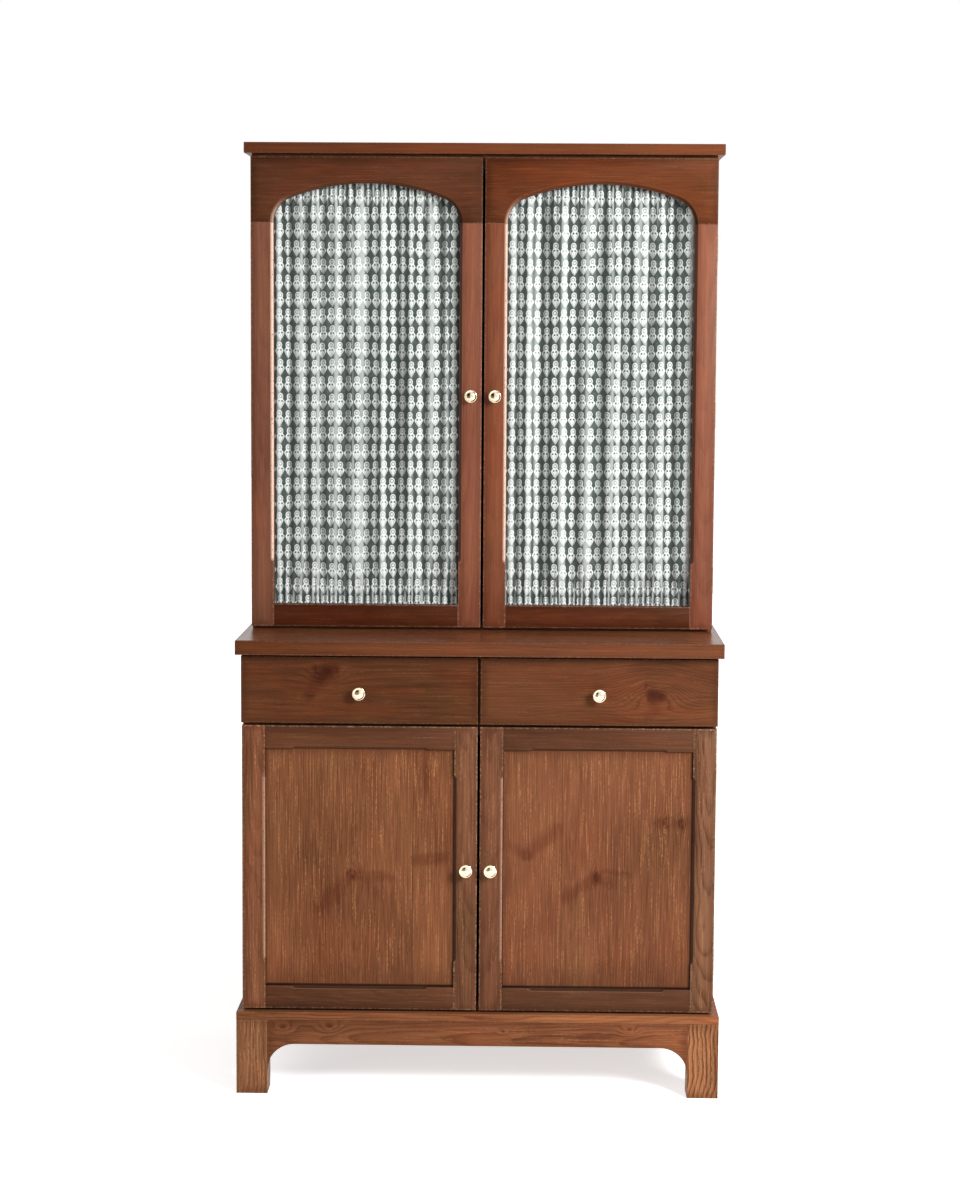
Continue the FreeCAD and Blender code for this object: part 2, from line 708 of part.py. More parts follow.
def hinge_leaf(name, axis, y, bottom, hand, fixed):
    """One leaf with its knuckles: two on the side's leaf, one on the door's."""
    clear = dim.barrel_diameter / 2 + dim.barrel_clearance
    low = y + dim.leaf_gap / 2 if fixed else y - dim.leaf_gap / 2 - dim.leaf_thickness
    left, length = span_from(axis, hand, clear, dim.leaf_width)
    solids = [box(name + "Plate", length, dim.leaf_thickness, dim.hinge_height, left, low, bottom)]
    left, length = span_from(axis, hand, ZERO, clear)
    for number in ((0, 2) if fixed else (1,)):
        start = bottom + (knuckle_length + dim.knuckle_gap) * number
        solids.append(box("%sWeb%d" % (name, number), length, dim.leaf_thickness,
                          knuckle_length, left, low, start))
        solids.append(rod("%sKnuckle%d" % (name, number), dim.barrel_diameter,
                          knuckle_length, axis, y, start))
    bore = rod(name + "Bore", dim.hinge_pin_diameter + dim.pin_clearance * 2,
               dim.hinge_height + dim.cut_overrun * 2, axis, y, bottom - dim.cut_overrun)
    leaf = cut(name, fuse(name + "Whole", solids), bore)
    leaf.Refine = True
    return leaf


def hinge_pin(name, axis, y, bottom):
    head = dim.pin_head_height
    solids = [rod(name + "Shank", dim.hinge_pin_diameter, dim.hinge_height, axis, y, bottom)]
    for end, low in (("Low", bottom - head), ("High", bottom + dim.hinge_height)):
        solids.append(rod(name + end, dim.pin_head_diameter, head, axis, y, low))
    return fuse(name, solids)


frame_leaves = []
for unit, front, levels in (("upper", upper_carcase_front, upper_hinges),
                            ("lower", lower_carcase_front, lower_hinges)):
    for side, hand in (("left", 1), ("right", -1)):
        for number, level in enumerate(levels, 1):
            axis = dim.carcase_width / 2 * -hand
            name = "%s_%s_hinge_%d" % (unit, side, number)
            y = front - leaf_space / 2
            frame_leaves.append(hinge_leaf(name, axis, y, level, hand, True))
            frame_leaves.append(hinge_pin(name + "_pin", axis, y, level))
group("hinge_frame_leaves", frame_leaves)

# Double magnetic catches, under the upper top panel and under the drawer deck
catch_forward = leaf_space - dim.strike_thickness - dim.catch_gap
group("magnetic_catches", [
    box(unit + "_catch", dim.catch_width, dim.catch_depth, dim.catch_height,
        -dim.catch_width / 2, front - catch_forward, under - dim.catch_height)
    for unit, front, under in (
        ("upper", upper_carcase_front, crown_under - dim.panel_thickness),
        ("lower", lower_carcase_front, deck_under))])


def strike_plate(name, side, y, under):
    """The steel plate on a door's back that meets one half of a catch."""
    middle = (dim.catch_width + dim.door_gap) / 4 * side
    return box(name, dim.strike_width, dim.strike_thickness, dim.catch_height,
               middle - dim.strike_width / 2, y, under - dim.catch_height)


# Upper doors: an arched top rail over two stiles, a bottom rail between them
upper_stile_height = upper_door_height - arched_rail_height
main_radius = (
    (opening_width / 2 - dim.arch_shoulder) * (opening_width / 2 - dim.arch_shoulder)
    + dim.arch_rise * dim.arch_rise - dim.arch_shoulder * dim.arch_shoulder
) / ((dim.arch_rise - dim.arch_shoulder) * 2)
mortise_low = dim.tenon_shoulder
mortise_high = dim.frame_width - dim.tenon_shoulder


def arched_rail(name, x, y, z):
    """The rail whose underside is a three-centred arch between the stiles."""
    body = new_body(name)
    width = door_width
    middle = width / 2
    over = dim.cut_overrun
    shoulder = dim.arch_shoulder
    spring = dim.frame_width
    # The shoulder and main arcs meet on the line through their centres.
    reach = opening_width / 2 - shoulder
    drop = main_radius - dim.arch_rise
    scale = main_radius / (main_radius - shoulder)
    meet_x = reach * scale
    meet_z = drop * scale - drop
    face = sketch_on(body, "XZ_Plane", name + "Face")
    draw(face, [(ZERO, ZERO), (spring, ZERO, shoulder, -1),
                (middle - meet_x, meet_z, main_radius, -1),
                (middle + meet_x, meet_z, shoulder, -1),
                (width - spring, ZERO), (width, ZERO),
                (width, arched_rail_height), (ZERO, arched_rail_height)])
    slab = pad(body, face, dim.door_thickness, reverse=True)
    for number, left in enumerate((mortise_low, width - mortise_high), 1):
        right = left + mortise_high - mortise_low
        front = (dim.door_thickness - dim.tenon_thickness) / 2
        seat = sketch_on(body, "XY_Plane", "%sMortise%d" % (name, number), z=-over)
        draw(seat, rectangle(left, front, right, front + dim.tenon_thickness))
        slab = pocket(body, seat, dim.tenon_length + dim.mortise_slack + over, reverse=True)
    doc.recompute()

    def on_arch(edge):
        round_edge = isinstance(edge.Curve, Part.Circle)
        return round_edge and near(edge.CenterOfMass.y, 0)

    ease_edges(body, slab, edges_where(slab, on_arch), dim.upper_chamfer, "Chamfer")
    place(body, x, y, z)
    return body


# Curtains and their rods. Both stand on the back of a door.
FOLD_TURN = 2.4
FOLD_UNEVEN_SHARE = 0.28
# How far below a pocket a fold has which share of its full depth
FALL_SHARES = ((0.12, 0.28), (0.26, 0.55), (1, 1))
cloth_width = door_width - (dim.rod_end_inset + dim.ear_thickness / 2 + dim.curtain_side_gap) * 2
low_rod = upper_floor + dim.header_clearance + dim.curtain_header
high_rod = crown_under - dim.panel_thickness - dim.header_clearance - dim.curtain_header
pocket_bore = dim.rod_diameter / 2 + dim.pocket_slack
pocket_radius = pocket_bore + dim.pocket_wall


def fold_edges(y, height, wave):
    """Front or back of the cloth at one height: uneven arcs, or lines where it lies flat."""
    width = plain(cloth_width)
    count = 2 * max(1, round(width / plain(dim.curtain_fold)))
    widths = [1 + FOLD_UNEVEN_SHARE * math.sin(FOLD_TURN * number) for number in range(count)]
    scale = width / sum(widths)
    left = 0
    edges = []
    for number, share in enumerate(widths):
        right = left + share * scale
        start, end = [FreeCAD.Vector(x, y, height) for x in (left, right)]
        if wave:
            crest = (start + end) / 2 + FreeCAD.Vector(0, wave * share * (-1) ** number, 0)
            edges.append(Part.Arc(start, crest, end).toShape())
        else:
            edges.append(Part.makeLine(start, end))
        left = right
    return edges


def cloth_section(height, wave):
    """The closed outline of the folded cloth at one height."""
    half = plain(dim.curtain_thickness) / 2
    front, back = [fold_edges(y, height, wave) for y in (-half, half)]
    caps = [Part.makeLine(a[end].Vertexes[end].Point, b[end].Vertexes[end].Point)
            for a, b, end in ((front, back, -1), (back, front, 0))]
    return Part.Wire(front + [caps[0]] + back[::-1] + [caps[1]])


def curtain(name, left, y):
    """Folded cloth with a flat pocket round each rod, from the lower rod's middle up."""
    rise = plain(high_rod - low_rod)
    header = plain(dim.curtain_header)
    flat = plain(pocket_radius)
    falls = [(flat + plain(dim.curtain_fall) * way, plain(dim.curtain_wave) * depth)
             for way, depth in FALL_SHARES]
    stations = [(-header, 0), (flat, 0)] + falls
    stations += [(rise - height, wave) for height, wave in stations[::-1]]
    shape = Part.makeLoft([cloth_section(*station) for station in stations], True, True)
    along = FreeCAD.Vector(1, 0, 0)
    spots = [FreeCAD.Vector(0, plain(dim.curtain_forward), height) for height in (0, rise)]
    length = plain(cloth_width)
    shape = shape.fuse([Part.makeCylinder(flat, length, spot, along) for spot in spots])
    shape = shape.cut([Part.makeCylinder(plain(pocket_bore), length, spot, along) for spot in spots])
    cloth = doc.addObject("Part::Feature", name)
    cloth.Label = name
    cloth.Shape = shape.removeSplitter()
    place(cloth, left, y, low_rod)
    return cloth


def rod_ear(name, middle, back, height):
    """A screw plate with an ear, bored for the end of a rod."""
    reach = dim.rod_standoff + dim.ear_height / 2
    plate = box(name + "Plate", dim.plate_width, dim.plate_thickness, dim.ear_height,
                middle - dim.plate_width / 2, back, height - dim.ear_height / 2)
    ear = box(name + "Arm", dim.ear_thickness, reach, dim.ear_height,
              middle - dim.ear_thickness / 2, back, height - dim.ear_height / 2)
    bore = rod(name + "Bore", dim.rod_diameter + dim.rod_clearance * 2,
               dim.plate_width + dim.cut_overrun * 2, middle - dim.plate_width / 2 - dim.cut_overrun,
               back + dim.rod_standoff, height, (0, 1, 0), 90)
    return cut(name, fuse(name + "Whole", [plate, ear]), bore)


def curtain_rods(name, left, back):
    pieces = []
    first = left + dim.rod_end_inset
    last = left + door_width - dim.rod_end_inset
    for level, height in (("Low", low_rod), ("High", high_rod)):
        pieces.append(rod(name + level, dim.rod_diameter, last - first + dim.ear_thickness,
                          first - dim.ear_thickness / 2, back + dim.rod_standoff, height,
                          (0, 1, 0), 90))
        pieces.append(rod_ear(name + level + "Ear1", first, back, height))
        pieces.append(rod_ear(name + level + "Ear2", last, back, height))
    return group(name, pieces)


# Doors
def door_plates(name, unit, side, hand, front, levels, under):
    """The hinge leaves and the strike plate on a door's back."""
    y = front - leaf_space / 2
    axis = dim.carcase_width / 2 * -hand
    leaves = [hinge_leaf("%s%d" % (name, number), axis, y, level, hand, False)
              for number, level in enumerate(levels, 1)]
    back = front - leaf_space
    return group(name, leaves + [strike_plate(name + "Strike", -hand, back, under)])


for side, hand in (("left", 1), ("right", -1)):
    outer = dim.carcase_width / 2 * -hand
    free = dim.door_gap / 2 * -hand
    left = outer if hand > 0 else free
    knob_x = (dim.door_gap / 2 + dim.knob_inset) * -hand

    # Upper door
    name = "upper_%s_door_" % side
    bottom = upper_door_bottom
    back = upper_face + dim.door_thickness
    top_tenon = (mortise_low, mortise_high, dim.tenon_thickness, ZERO,
                 upper_stile_height + dim.tenon_length)
    chamfer_run = (dim.frame_width + dim.upper_chamfer_stop, upper_stile_height + dim.cut_overrun)
    joints = {"run": chamfer_run, "stops": (True, False), "tenon": top_tenon,
              "mortises": [(mortise_low, mortise_high)]}
    stile(name + "hinge_stile", bottom, upper_stile_height, outer, upper_face, hand,
          dim.upper_chamfer, notches=[level - bottom for level in upper_hinges], **joints)
    stile(name + "meeting_stile", bottom, upper_stile_height, free, upper_face, -hand,
          dim.upper_chamfer, **joints)
    rail_tenon = (mortise_low, mortise_high, dim.tenon_thickness, -dim.tenon_length,
                  opening_width + dim.tenon_length)
    member(name + "bottom_rail", opening_width, left + dim.frame_width + opening_width,
           upper_face, bottom, -90, tenon=rail_tenon)
    arched_rail(name + "arched_rail", left, upper_face, bottom + upper_stile_height)
    curtain(name + "curtain", left + (door_width - cloth_width) / 2,
            back + dim.rod_standoff - dim.curtain_forward)
    curtain_rods(name + "curtain_rods", left, back)
    knob(name + "knob", knob_x, upper_face, bottom + dim.upper_knob_height)
    door_plates(name + "plates", "upper", side, hand, upper_carcase_front, upper_hinges,
                crown_under - dim.panel_thickness)

    # Lower door
    name = "lower_%s_door_" % side
    bottom = lower_door_bottom
    margin = dim.frame_width + dim.lower_chamfer_stop
    chamfer_run = (margin, lower_door_height - margin)
    stile(name + "hinge_stile", bottom, lower_door_height, outer, lower_face, hand,
          dim.lower_chamfer, chamfer_run, groove=True,
          notches=[level - bottom for level in lower_hinges])
    stile(name + "meeting_stile", bottom, lower_door_height, free, lower_face, -hand,
          dim.lower_chamfer, chamfer_run, groove=True)
    rail_run = (dim.lower_chamfer_stop, opening_width - dim.lower_chamfer_stop)
    rail_tenon = (ZERO, dim.frame_width - dim.groove_depth, dim.groove_width,
                  -dim.groove_depth, opening_width + dim.groove_depth)
    group(name + "rails", [
        member(name + "bottom_rail", opening_width, left + dim.frame_width + opening_width,
               lower_face, bottom, -90, dim.lower_chamfer, rail_run, groove=True,
               tenon=rail_tenon),
        member(name + "top_rail", opening_width, left + dim.frame_width,
               lower_face, bottom + lower_door_height, 90, dim.lower_chamfer, rail_run,
               groove=True, tenon=rail_tenon)])
    into_groove = dim.groove_depth - dim.panel_slack
    box(name + "panel", opening_width + into_groove * 2, dim.groove_width,
        lower_door_height - dim.frame_width * 2 + into_groove * 2,
        left + dim.frame_width - into_groove,
        lower_face + (dim.door_thickness - dim.groove_width) / 2,
        bottom + dim.frame_width - into_groove)
    knob(name + "knob", knob_x, lower_face, bottom + lower_door_height / 2)
    door_plates(name + "plates", "lower", side, hand, lower_carcase_front, lower_hinges,
                deck_under)


# Drawers: a plain box behind an overlaid front, sliding on the deck between
# a side and the divider
def drawer_front(name, x):
    body = new_body(name)
    face = sketch_on(body, "XZ_Plane", name + "Face")
    draw(face, rectangle(ZERO, ZERO, drawer_front_width, dim.drawer_height))
    slab = pad(body, face, dim.door_thickness, reverse=True)
    doc.recompute()
    rim = edges_where(slab, lambda edge: near(edge.CenterOfMass.y, 0))
    ease_edges(body, slab, rim, dim.front_ease)
    place(body, x, lower_face, drawer_bottom)
    return body


def drawer_box(name, left, width):
    """Two sides, an inner front and a back, with the bottom let in all round."""
    wall = dim.drawer_box_wall
    front = lower_face + dim.door_thickness
    low = deck_top + dim.drawer_run_clearance
    height = stretcher_under - dim.drawer_top_clearance - low
    depth = dim.drawer_box_depth
    into = dim.drawer_groove
    inner_width = width - wall * 2
    bottom_low = low + dim.drawer_bottom_lift
    bottom_left = left + wall - into
    bottom_front = front + wall - into
    bottom_sizes = (inner_width + into * 2, depth - wall * 2 + into * 2,
                    dim.drawer_bottom_thickness, bottom_left, bottom_front, bottom_low)
    walls = (("Side1", wall, depth, left, front),
             ("Side2", wall, depth, left + width - wall, front),
             ("Front", inner_width, wall, left + wall, front),
             ("Back", inner_width, wall, left + wall, front + depth - wall))
    pieces = []
    for part, length, across, x, y in walls:
        board = box(name + part + "Board", length, across, height, x, y, low)
        groove = box(name + part + "Groove", *bottom_sizes)
        pieces.append(cut(name + part, board, groove))
    pieces.append(box(name + "Bottom", *bottom_sizes))
    return group(name, pieces)


bay_width = side_inner - dim.panel_thickness / 2 - dim.drawer_side_clearance * 2
for side, hand in (("left", -1), ("right", 1)):
    edge = dim.door_gap / 2 if hand > 0 else -dim.door_gap / 2 - drawer_front_width
    bay = dim.panel_thickness / 2 if hand > 0 else -side_inner
    drawer_front(side + "_drawer_front", edge)
    drawer_box(side + "_drawer_box", bay + dim.drawer_side_clearance, bay_width)
    knob(side + "_drawer_knob", edge + drawer_front_width / 2, lower_face,
         drawer_bottom + dim.drawer_height / 2 - dim.drawer_knob_drop)

# Nodes, one file each
NODES = [
    "crown_board", "upper_left_side", "upper_right_side", "upper_top_panel",
    "upper_bottom_panel", "upper_back_panel", "upper_shelves", "worktop",
    "lower_left_side", "lower_right_side", "drawer_deck", "drawer_divider",
    "lower_bottom_panel", "lower_back_panel", "lower_shelf", "stretchers",
    "plinth_board", "front_apron", "side_aprons", "rear_apron", "front_feet",
    "rear_feet", "hinge_frame_leaves", "magnetic_catches",
]
for side in ("left", "right"):
    NODES += ["upper_%s_door_%s" % (side, piece) for piece in (
        "hinge_stile", "meeting_stile", "bottom_rail", "arched_rail", "curtain",
        "curtain_rods", "knob", "plates")]
    NODES += ["lower_%s_door_%s" % (side, piece) for piece in (
        "hinge_stile", "meeting_stile", "rails", "panel", "knob", "plates")]
    NODES += ["%s_drawer_%s" % (side, piece) for piece in ("front", "box", "knob")]

doc.recompute()
for thing in doc.Objects:
    if "Invalid" in thing.State or "Error" in thing.State:
        raise RuntimeError("%s could not be built: %s" % (thing.Label, thing.State))
solids = 0
for node in NODES:
    shape = doc.getObjectsByLabel(node)[0].Shape
    if shape.isNull() or not shape.isValid():
        raise RuntimeError(node + " has no valid shape")
    solids += len(shape.Solids)
    shape.exportStep("parts/%s.step" % node)
print("%d nodes, %d solids" % (len(NODES), solids))
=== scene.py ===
import json
import math
import random
from functools import partialmethod

import bpy
import numpy as np
from mathutils import Matrix, Vector

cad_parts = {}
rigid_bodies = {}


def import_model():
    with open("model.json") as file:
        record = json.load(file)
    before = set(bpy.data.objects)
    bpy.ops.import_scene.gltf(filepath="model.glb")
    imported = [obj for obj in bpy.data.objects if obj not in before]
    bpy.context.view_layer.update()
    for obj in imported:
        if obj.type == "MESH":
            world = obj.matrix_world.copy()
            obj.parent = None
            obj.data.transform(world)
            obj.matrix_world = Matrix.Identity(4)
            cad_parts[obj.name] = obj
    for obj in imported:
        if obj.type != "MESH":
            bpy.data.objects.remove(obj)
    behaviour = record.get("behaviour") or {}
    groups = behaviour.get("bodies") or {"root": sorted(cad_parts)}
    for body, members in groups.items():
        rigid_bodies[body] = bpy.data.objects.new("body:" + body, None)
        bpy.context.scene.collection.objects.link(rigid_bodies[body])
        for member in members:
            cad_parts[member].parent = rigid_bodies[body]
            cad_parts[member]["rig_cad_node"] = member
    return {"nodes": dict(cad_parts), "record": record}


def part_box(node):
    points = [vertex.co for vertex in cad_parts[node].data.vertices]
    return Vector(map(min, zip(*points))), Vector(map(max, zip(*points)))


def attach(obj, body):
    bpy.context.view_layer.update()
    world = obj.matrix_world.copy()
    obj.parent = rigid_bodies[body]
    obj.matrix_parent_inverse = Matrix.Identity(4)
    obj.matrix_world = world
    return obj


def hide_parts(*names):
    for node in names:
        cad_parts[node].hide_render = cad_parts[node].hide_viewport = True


bl_info = {
    "name": "Curtained pine cabinet",
    "version": (1, 0, 0),
    "blender": (4, 5, 0),
    "location": "3D View > Sidebar > Cabinet",
    "description": "Dresses the cabinet: stained pine, brass, printed curtains and a plain stage",
    "category": "Object",
}

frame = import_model()
NODES = frame["nodes"]
BODY_OF = {node: body for body, nodes in frame["record"]["behaviour"]["bodies"].items()
           for node in nodes}


def srgb(red, green, blue):
    """A colour of 0 to 255 a channel, as the shader's own colour."""
    shares = [channel / 255 for channel in (red, green, blue)]
    linear = [s / 12.92 if s <= 0.04045 else ((s + 0.055) / 1.055) ** 2.4 for s in shares]
    return (*linear, 1.0)


def lighter(colour, factor):
    """The same colour, brighter or darker."""
    return (*[min(channel * factor, 1.0) for channel in colour[:3]], 1.0)


def toned(colour, factors, added=(0.0, 0.0, 0.0)):
    """A colour with each channel multiplied and then lifted."""
    return (*[c * factor + more for c, factor, more in zip(colour, factors, added)], 1.0)


WHITE = (1.0, 1.0, 1.0, 1.0)


# Selecting and finishing meshes

def only(*objects):
    """Deselect everything, then select these, the last one active."""
    bpy.ops.object.select_all(action="DESELECT")
    for thing in objects:
        thing.select_set(True)
        bpy.context.view_layer.objects.active = thing


def finish_with(piece, kind, **settings):
    """Add a modifier to a piece and apply it."""
    only(piece)
    bpy.ops.object.modifier_add(type=kind)
    modifier = piece.modifiers[-1]
    for name, value in settings.items():
        setattr(modifier, name, value)
    bpy.ops.object.modifier_apply(modifier=modifier.name)


def smooth_below(piece, degrees):
    """Shade smooth across edges that turn by less than so many degrees."""
    only(piece)
    bpy.ops.object.shade_smooth_by_angle(angle=math.radians(degrees))


# How far faces look to the front that count as a chamfer or as an eased arris,
# and how near the cabinet's middle plane the edges are that close on each other
CHAMFER_LOOK = (0.6, 0.8)
ARRIS_LOOK = (0.84, 0.985)
CLOSING_REACH = 0.0036
# How much painted highlight (+) or painted shade (-) they give: arrises that look up
# or right, toward the lamps, and the others, and the painted shade where doors close
ARRIS_LIT, ARRIS_HALF_LIT, CLOSING_SHADE = 0.4, 0.15, -0.95


def face_values(mesh, kind):
    """The x, y and z of each face's normal or centre."""
    values = np.zeros(len(mesh.polygons) * 3)
    mesh.polygons.foreach_get(kind, values)
    return values.reshape(-1, 3).T


def mark_lit_and_shaded_edges(piece, rails=0.0):
    """Note on each face how much painted highlight (+) or painted shade (-) it gets.

    Chamfers get painted highlight where they face right, toward the key lamp, and
    painted shade where they face left, away from it, the narrow eased arrises of
    the front get painted highlight and the edges that close against the other door
    painted shade. rails is the value of chamfers that face up.
    """
    mesh = piece.data
    x, y, z = face_values(mesh, "normal")
    chamfer = (-y > CHAMFER_LOOK[0]) & (-y < CHAMFER_LOOK[1])
    arris = (-y > ARRIS_LOOK[0]) & (-y < ARRIS_LOOK[1])
    closing = (np.abs(face_values(mesh, "center")[0]) < CLOSING_REACH) & (np.abs(x) > 0.6)
    # Chamfers that face right, toward the key lamp, get painted highlight and those that face
    # left painted shade
    slant = x * math.sqrt(2)
    slant = np.where(x > 0, slant ** 3, slant) + rails * math.sqrt(2) * np.maximum(z, 0)
    values = np.zeros(len(x))
    values[chamfer] = np.clip(slant, -1, 1)[chamfer]
    values[arris] = np.where(x + z > -0.1, ARRIS_LIT, ARRIS_HALF_LIT)[arris]
    values[closing] = CLOSING_SHADE
    mesh.attributes.new("worn", "FLOAT", "FACE").data.foreach_set("value", values)


def give(piece, material):
    """Put one material on a piece in place of those that it has."""
    piece.data.materials.clear()
    piece.data.materials.append(material)


def put_on(piece, node, material):
    """A new piece stands for a node, rides as it does and takes its finish."""
    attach(piece, BODY_OF[node])
    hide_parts(node)
    give(piece, material)


def eased_copy(node, ease):
    """A merged copy of a node whose sharp edges are rounded over."""
    only(NODES[node])
    bpy.ops.object.duplicate()
    piece = bpy.context.object
    piece.name = node + "_eased"
    del piece["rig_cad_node"]
    bpy.ops.object.mode_set(mode="EDIT")
    bpy.ops.mesh.customdata_custom_splitnormals_clear()
    bpy.ops.mesh.select_all(action="SELECT")
    bpy.ops.mesh.remove_doubles(threshold=0.00001)
    bpy.ops.mesh.dissolve_limited(angle_limit=math.radians(0.5))
    bpy.ops.object.mode_set(mode="OBJECT")
    finish_with(piece, "BEVEL", width=ease, segments=2, limit_method="ANGLE",
                angle_limit=math.radians(32), harden_normals=False, use_clamp_overlap=True)
    smooth_below(piece, 34)
    return piece


# Shaders

class Value:
    """What comes out of a node, with the signs of arithmetic between values."""

    def __init__(self, shader, socket):
        self.shader = shader
        self.socket = socket

    def math(self, operation, *others):
        return self.shader.node("Math", {"operation": operation}, [self, *others])

    def __rsub__(self, other):
        return self.shader.node("Math", {"operation": "SUBTRACT"}, [other, self])

    __add__ = __radd__ = partialmethod(math, "ADD")
    __sub__ = partialmethod(math, "SUBTRACT")
    __mul__ = __rmul__ = partialmethod(math, "MULTIPLY")
    __truediv__ = partialmethod(math, "DIVIDE")
    __neg__ = partialmethod(math, "MULTIPLY", -1.0)
    __abs__ = partialmethod(math, "ABSOLUTE")
    power = partialmethod(math, "POWER")
    least = partialmethod(math, "MINIMUM")
    most = partialmethod(math, "MAXIMUM")
    # What is left past the last whole number, and that number
    part = partialmethod(math, "FRACT")
    whole = partialmethod(math, "FLOOR")
    # 1 where the value is above a limit, else 0
    above = partialmethod(math, "GREATER_THAN")

    def between(self, low, high):
        """0 at low, 1 at high and a soft rise between them."""
        settings = {"interpolation_type": "SMOOTHSTEP", "clamp": True}
        return self.shader.node("MapRange", settings,
                                {"Value": self, "From Min": low, "From Max": high})

    def bell(self, width):
        """1 at 0, from where it dies away over the width."""
        return (-(self / width).power(2.0)).math("EXPONENT")


def hypotenuse(x, y):
    """How long the straight way is that goes x and y."""
    return (x * x + y * y).power(0.5)


class Shader:
    """The nodes of one new material, or of the world."""

    def __init__(self, name="", owner=None):
        self.owner = owner or bpy.data.materials.new(name)
        self.owner.use_nodes = True
        self.tree = self.owner.node_tree
        self.tree.nodes.clear()

    def node(self, kind, settings=None, inputs=None, output=0):
        """Add a node, set it up, join its inputs and give one of its outputs."""
        made = self.tree.nodes.new("ShaderNode" + kind)
        for name, value in (settings or {}).items():
            if name == "stops":
                self.set_stops(made, value)
            else:
                setattr(made, name, value)
        pairs = inputs.items() if isinstance(inputs, dict) else enumerate(inputs or [])
        for key, value in pairs:
            if isinstance(value, Value):
                self.tree.links.new(value.socket, made.inputs[key])
            else:
                made.inputs[key].default_value = value
        return Value(self, made.outputs[output]) if made.outputs else made

    def set_stops(self, ramp, stops):
        """Set a ramp's stops: places and greys or colours."""
        elements = ramp.color_ramp.elements
        while len(elements) < len(stops):
            elements.new(1.0)
        for element, (place, colour) in zip(elements, stops):
            element.position = place
            element.color = colour if hasattr(colour, "__len__") else (colour, colour, colour, 1)

    def spot(self):
        """The place on the object, in metres."""
        return self.node("TexCoord", output="Object")

    def split(self, vector):
        """The X, Y and Z of a vector."""
        first = self.node("SeparateXYZ", None, [vector])
        outputs = first.socket.node.outputs
        return [Value(self, outputs[number]) for number in range(3)]

    def join(self, x, y, z):
        return self.node("CombineXYZ", None, [x, y, z])

    def noise(self, vector, scale, detail=2.0, roughness=0.5, distortion=0.0):
        return self.node("TexNoise", {"noise_dimensions": "3D"},
                         {"Vector": vector, "Scale": scale, "Detail": detail,
                          "Roughness": roughness, "Distortion": distortion})

    def ramp(self, value, *stops):
        return self.node("ValToRGB", {"stops": stops}, [value])

    def mix(self, share, first, second, blend="MIX"):
        """Two colours, mixed by a share of the second."""
        made = self.node("Mix", {"data_type": "RGBA", "blend_type": blend}, {"Factor": share},
                         output=2)
        box = made.socket.node
        for socket, value in ((box.inputs[6], first), (box.inputs[7], second)):
            if isinstance(value, Value):
                self.tree.links.new(value.socket, socket)
            else:
                socket.default_value = value
        return made

    def bump(self, height, depth, strength=1.0):
        return self.node("Bump", None,
                         {"Height": height, "Distance": depth, "Strength": strength})

    def surface(self, inputs):
        """A plain surface with these inputs, joined to the material's output."""
        return self.finish(self.node("BsdfPrincipled", None, inputs))

    def finish(self, surface, output="OutputMaterial"):
        """Join a surface to the output, which ends the work on these nodes."""
        self.node(output, None, [surface])
        return self.owner


# Pine

# Tones of a board: factors of its stain's channels, and what is added to them
TONES = {
    "deep": ((0.34, 0.27, 0.24), (0.0, 0.0, 0.0)),
    "warm": ((1.62, 1.68, 1.66), (0.0, 0.0, 0.0)),
    "knot": ((0.50, 0.28, 0.20), (0.0, 0.0, 0.0)),
    "brushed": ((1.5, 1.6, 1.6), (0.090, 0.055, 0.022)),
    "rubbed": ((1.5, 1.6, 1.6), (0.140, 0.110, 0.075)),
}
# The cream that the painted highlight on chamfers turns to
CREAM = (0.95, 0.66, 0.52)
# Tints that the stain is multiplied by, in patches and along strokes
GREENER = (0.86, 1.06, 0.92, 1.0)
REDDER = (1.20, 0.98, 0.86, 1.0)
DARK_FIGURE = (0.46, 0.27, 0.22, 1.0)
ORANGE_FIGURE = (1.75, 1.20, 0.75, 1.0)
# Noise that runs with the grain: how fine it is across and along the board, its
# detail and roughness, and how far it jumps across and along from stave to stave
STREAKS = {
    "fibre": (520.0, 9.0, 4.0, 0.65, 900.0, 0.0),
    "mark": (400.0, 13.0, 4.0, 0.7, 0.0, 30.0),
    "speck": (620.0, 150.0, 2.0, 0.6, 0.0, 0.0),
    "fleck": (90.0, 14.0, 4.0, 0.65, 0.0, 0.0),
    "cloud": (7.0, 2.6, 4.0, 0.6, 60.0, 0.0),
    "hue": (11.0, 4.5, 3.0, 0.6, 0.0, 0.0),
}
STAVE_SHIFT = 0.173
# The heart of the tree, where none is given: how far off the board's middle, in
# shares of its width, and how deep behind its face, in metres
HEART_ACROSS = (-0.45, 0.45)
HEART_DEPTH = (0.03, 0.08)
# Rings wander by up to SWAY metres, so many times a metre across and along
SWAY, SWAYS_ACROSS, SWAYS_ALONG = 0.034, 9.0, 1.9
# From a year's early wood to its late wood, over the width of one ring
RING_TONE = ((0.0, 0.1), (0.4, 0.15), (0.75, 0.8), (0.9, 1.0), (1.0, 0.1))
# A knot's width by its length, and how far it bends the grain and lifts the
# rings, in shares of its radius
KNOT_STRETCH, KNOT_BEND, KNOT_LIFT = 0.62, 3.6, 2.6
# Metres from an edge, line or face where a mark begins to die away and where it ends;
# the first pair is painted shade along a board's edges, partly stain gathered there
BORDER_SHADE = (0.0015, 0.020)
GLUE_LINE = (0.0003, 0.0014)
WORN_EDGE = (0.0006, 0.0038)
CHAMFER = (0.0012, 0.0034)
FRONT_SKIN = (0.0003, 0.0012)
# The same round a panel, all painted shade and shadow where the frame before it shades
# it: the black shadow line at its right and foot, the thinner one at its left and top,
# the dim strip inside them and the darker foot
LOW_LINE = (0.0012, 0.0036)
HIGH_LINE = (0.0004, 0.0022)
DIM_STRIP = (0.002, 0.024)
DARK_FOOT = (0.0, 0.07)
# The rail's depth hides so much of the panel's foot from the photograph's view
HIDDEN_FOOT = 0.0018
GRAIN_DEPTH = 0.0003


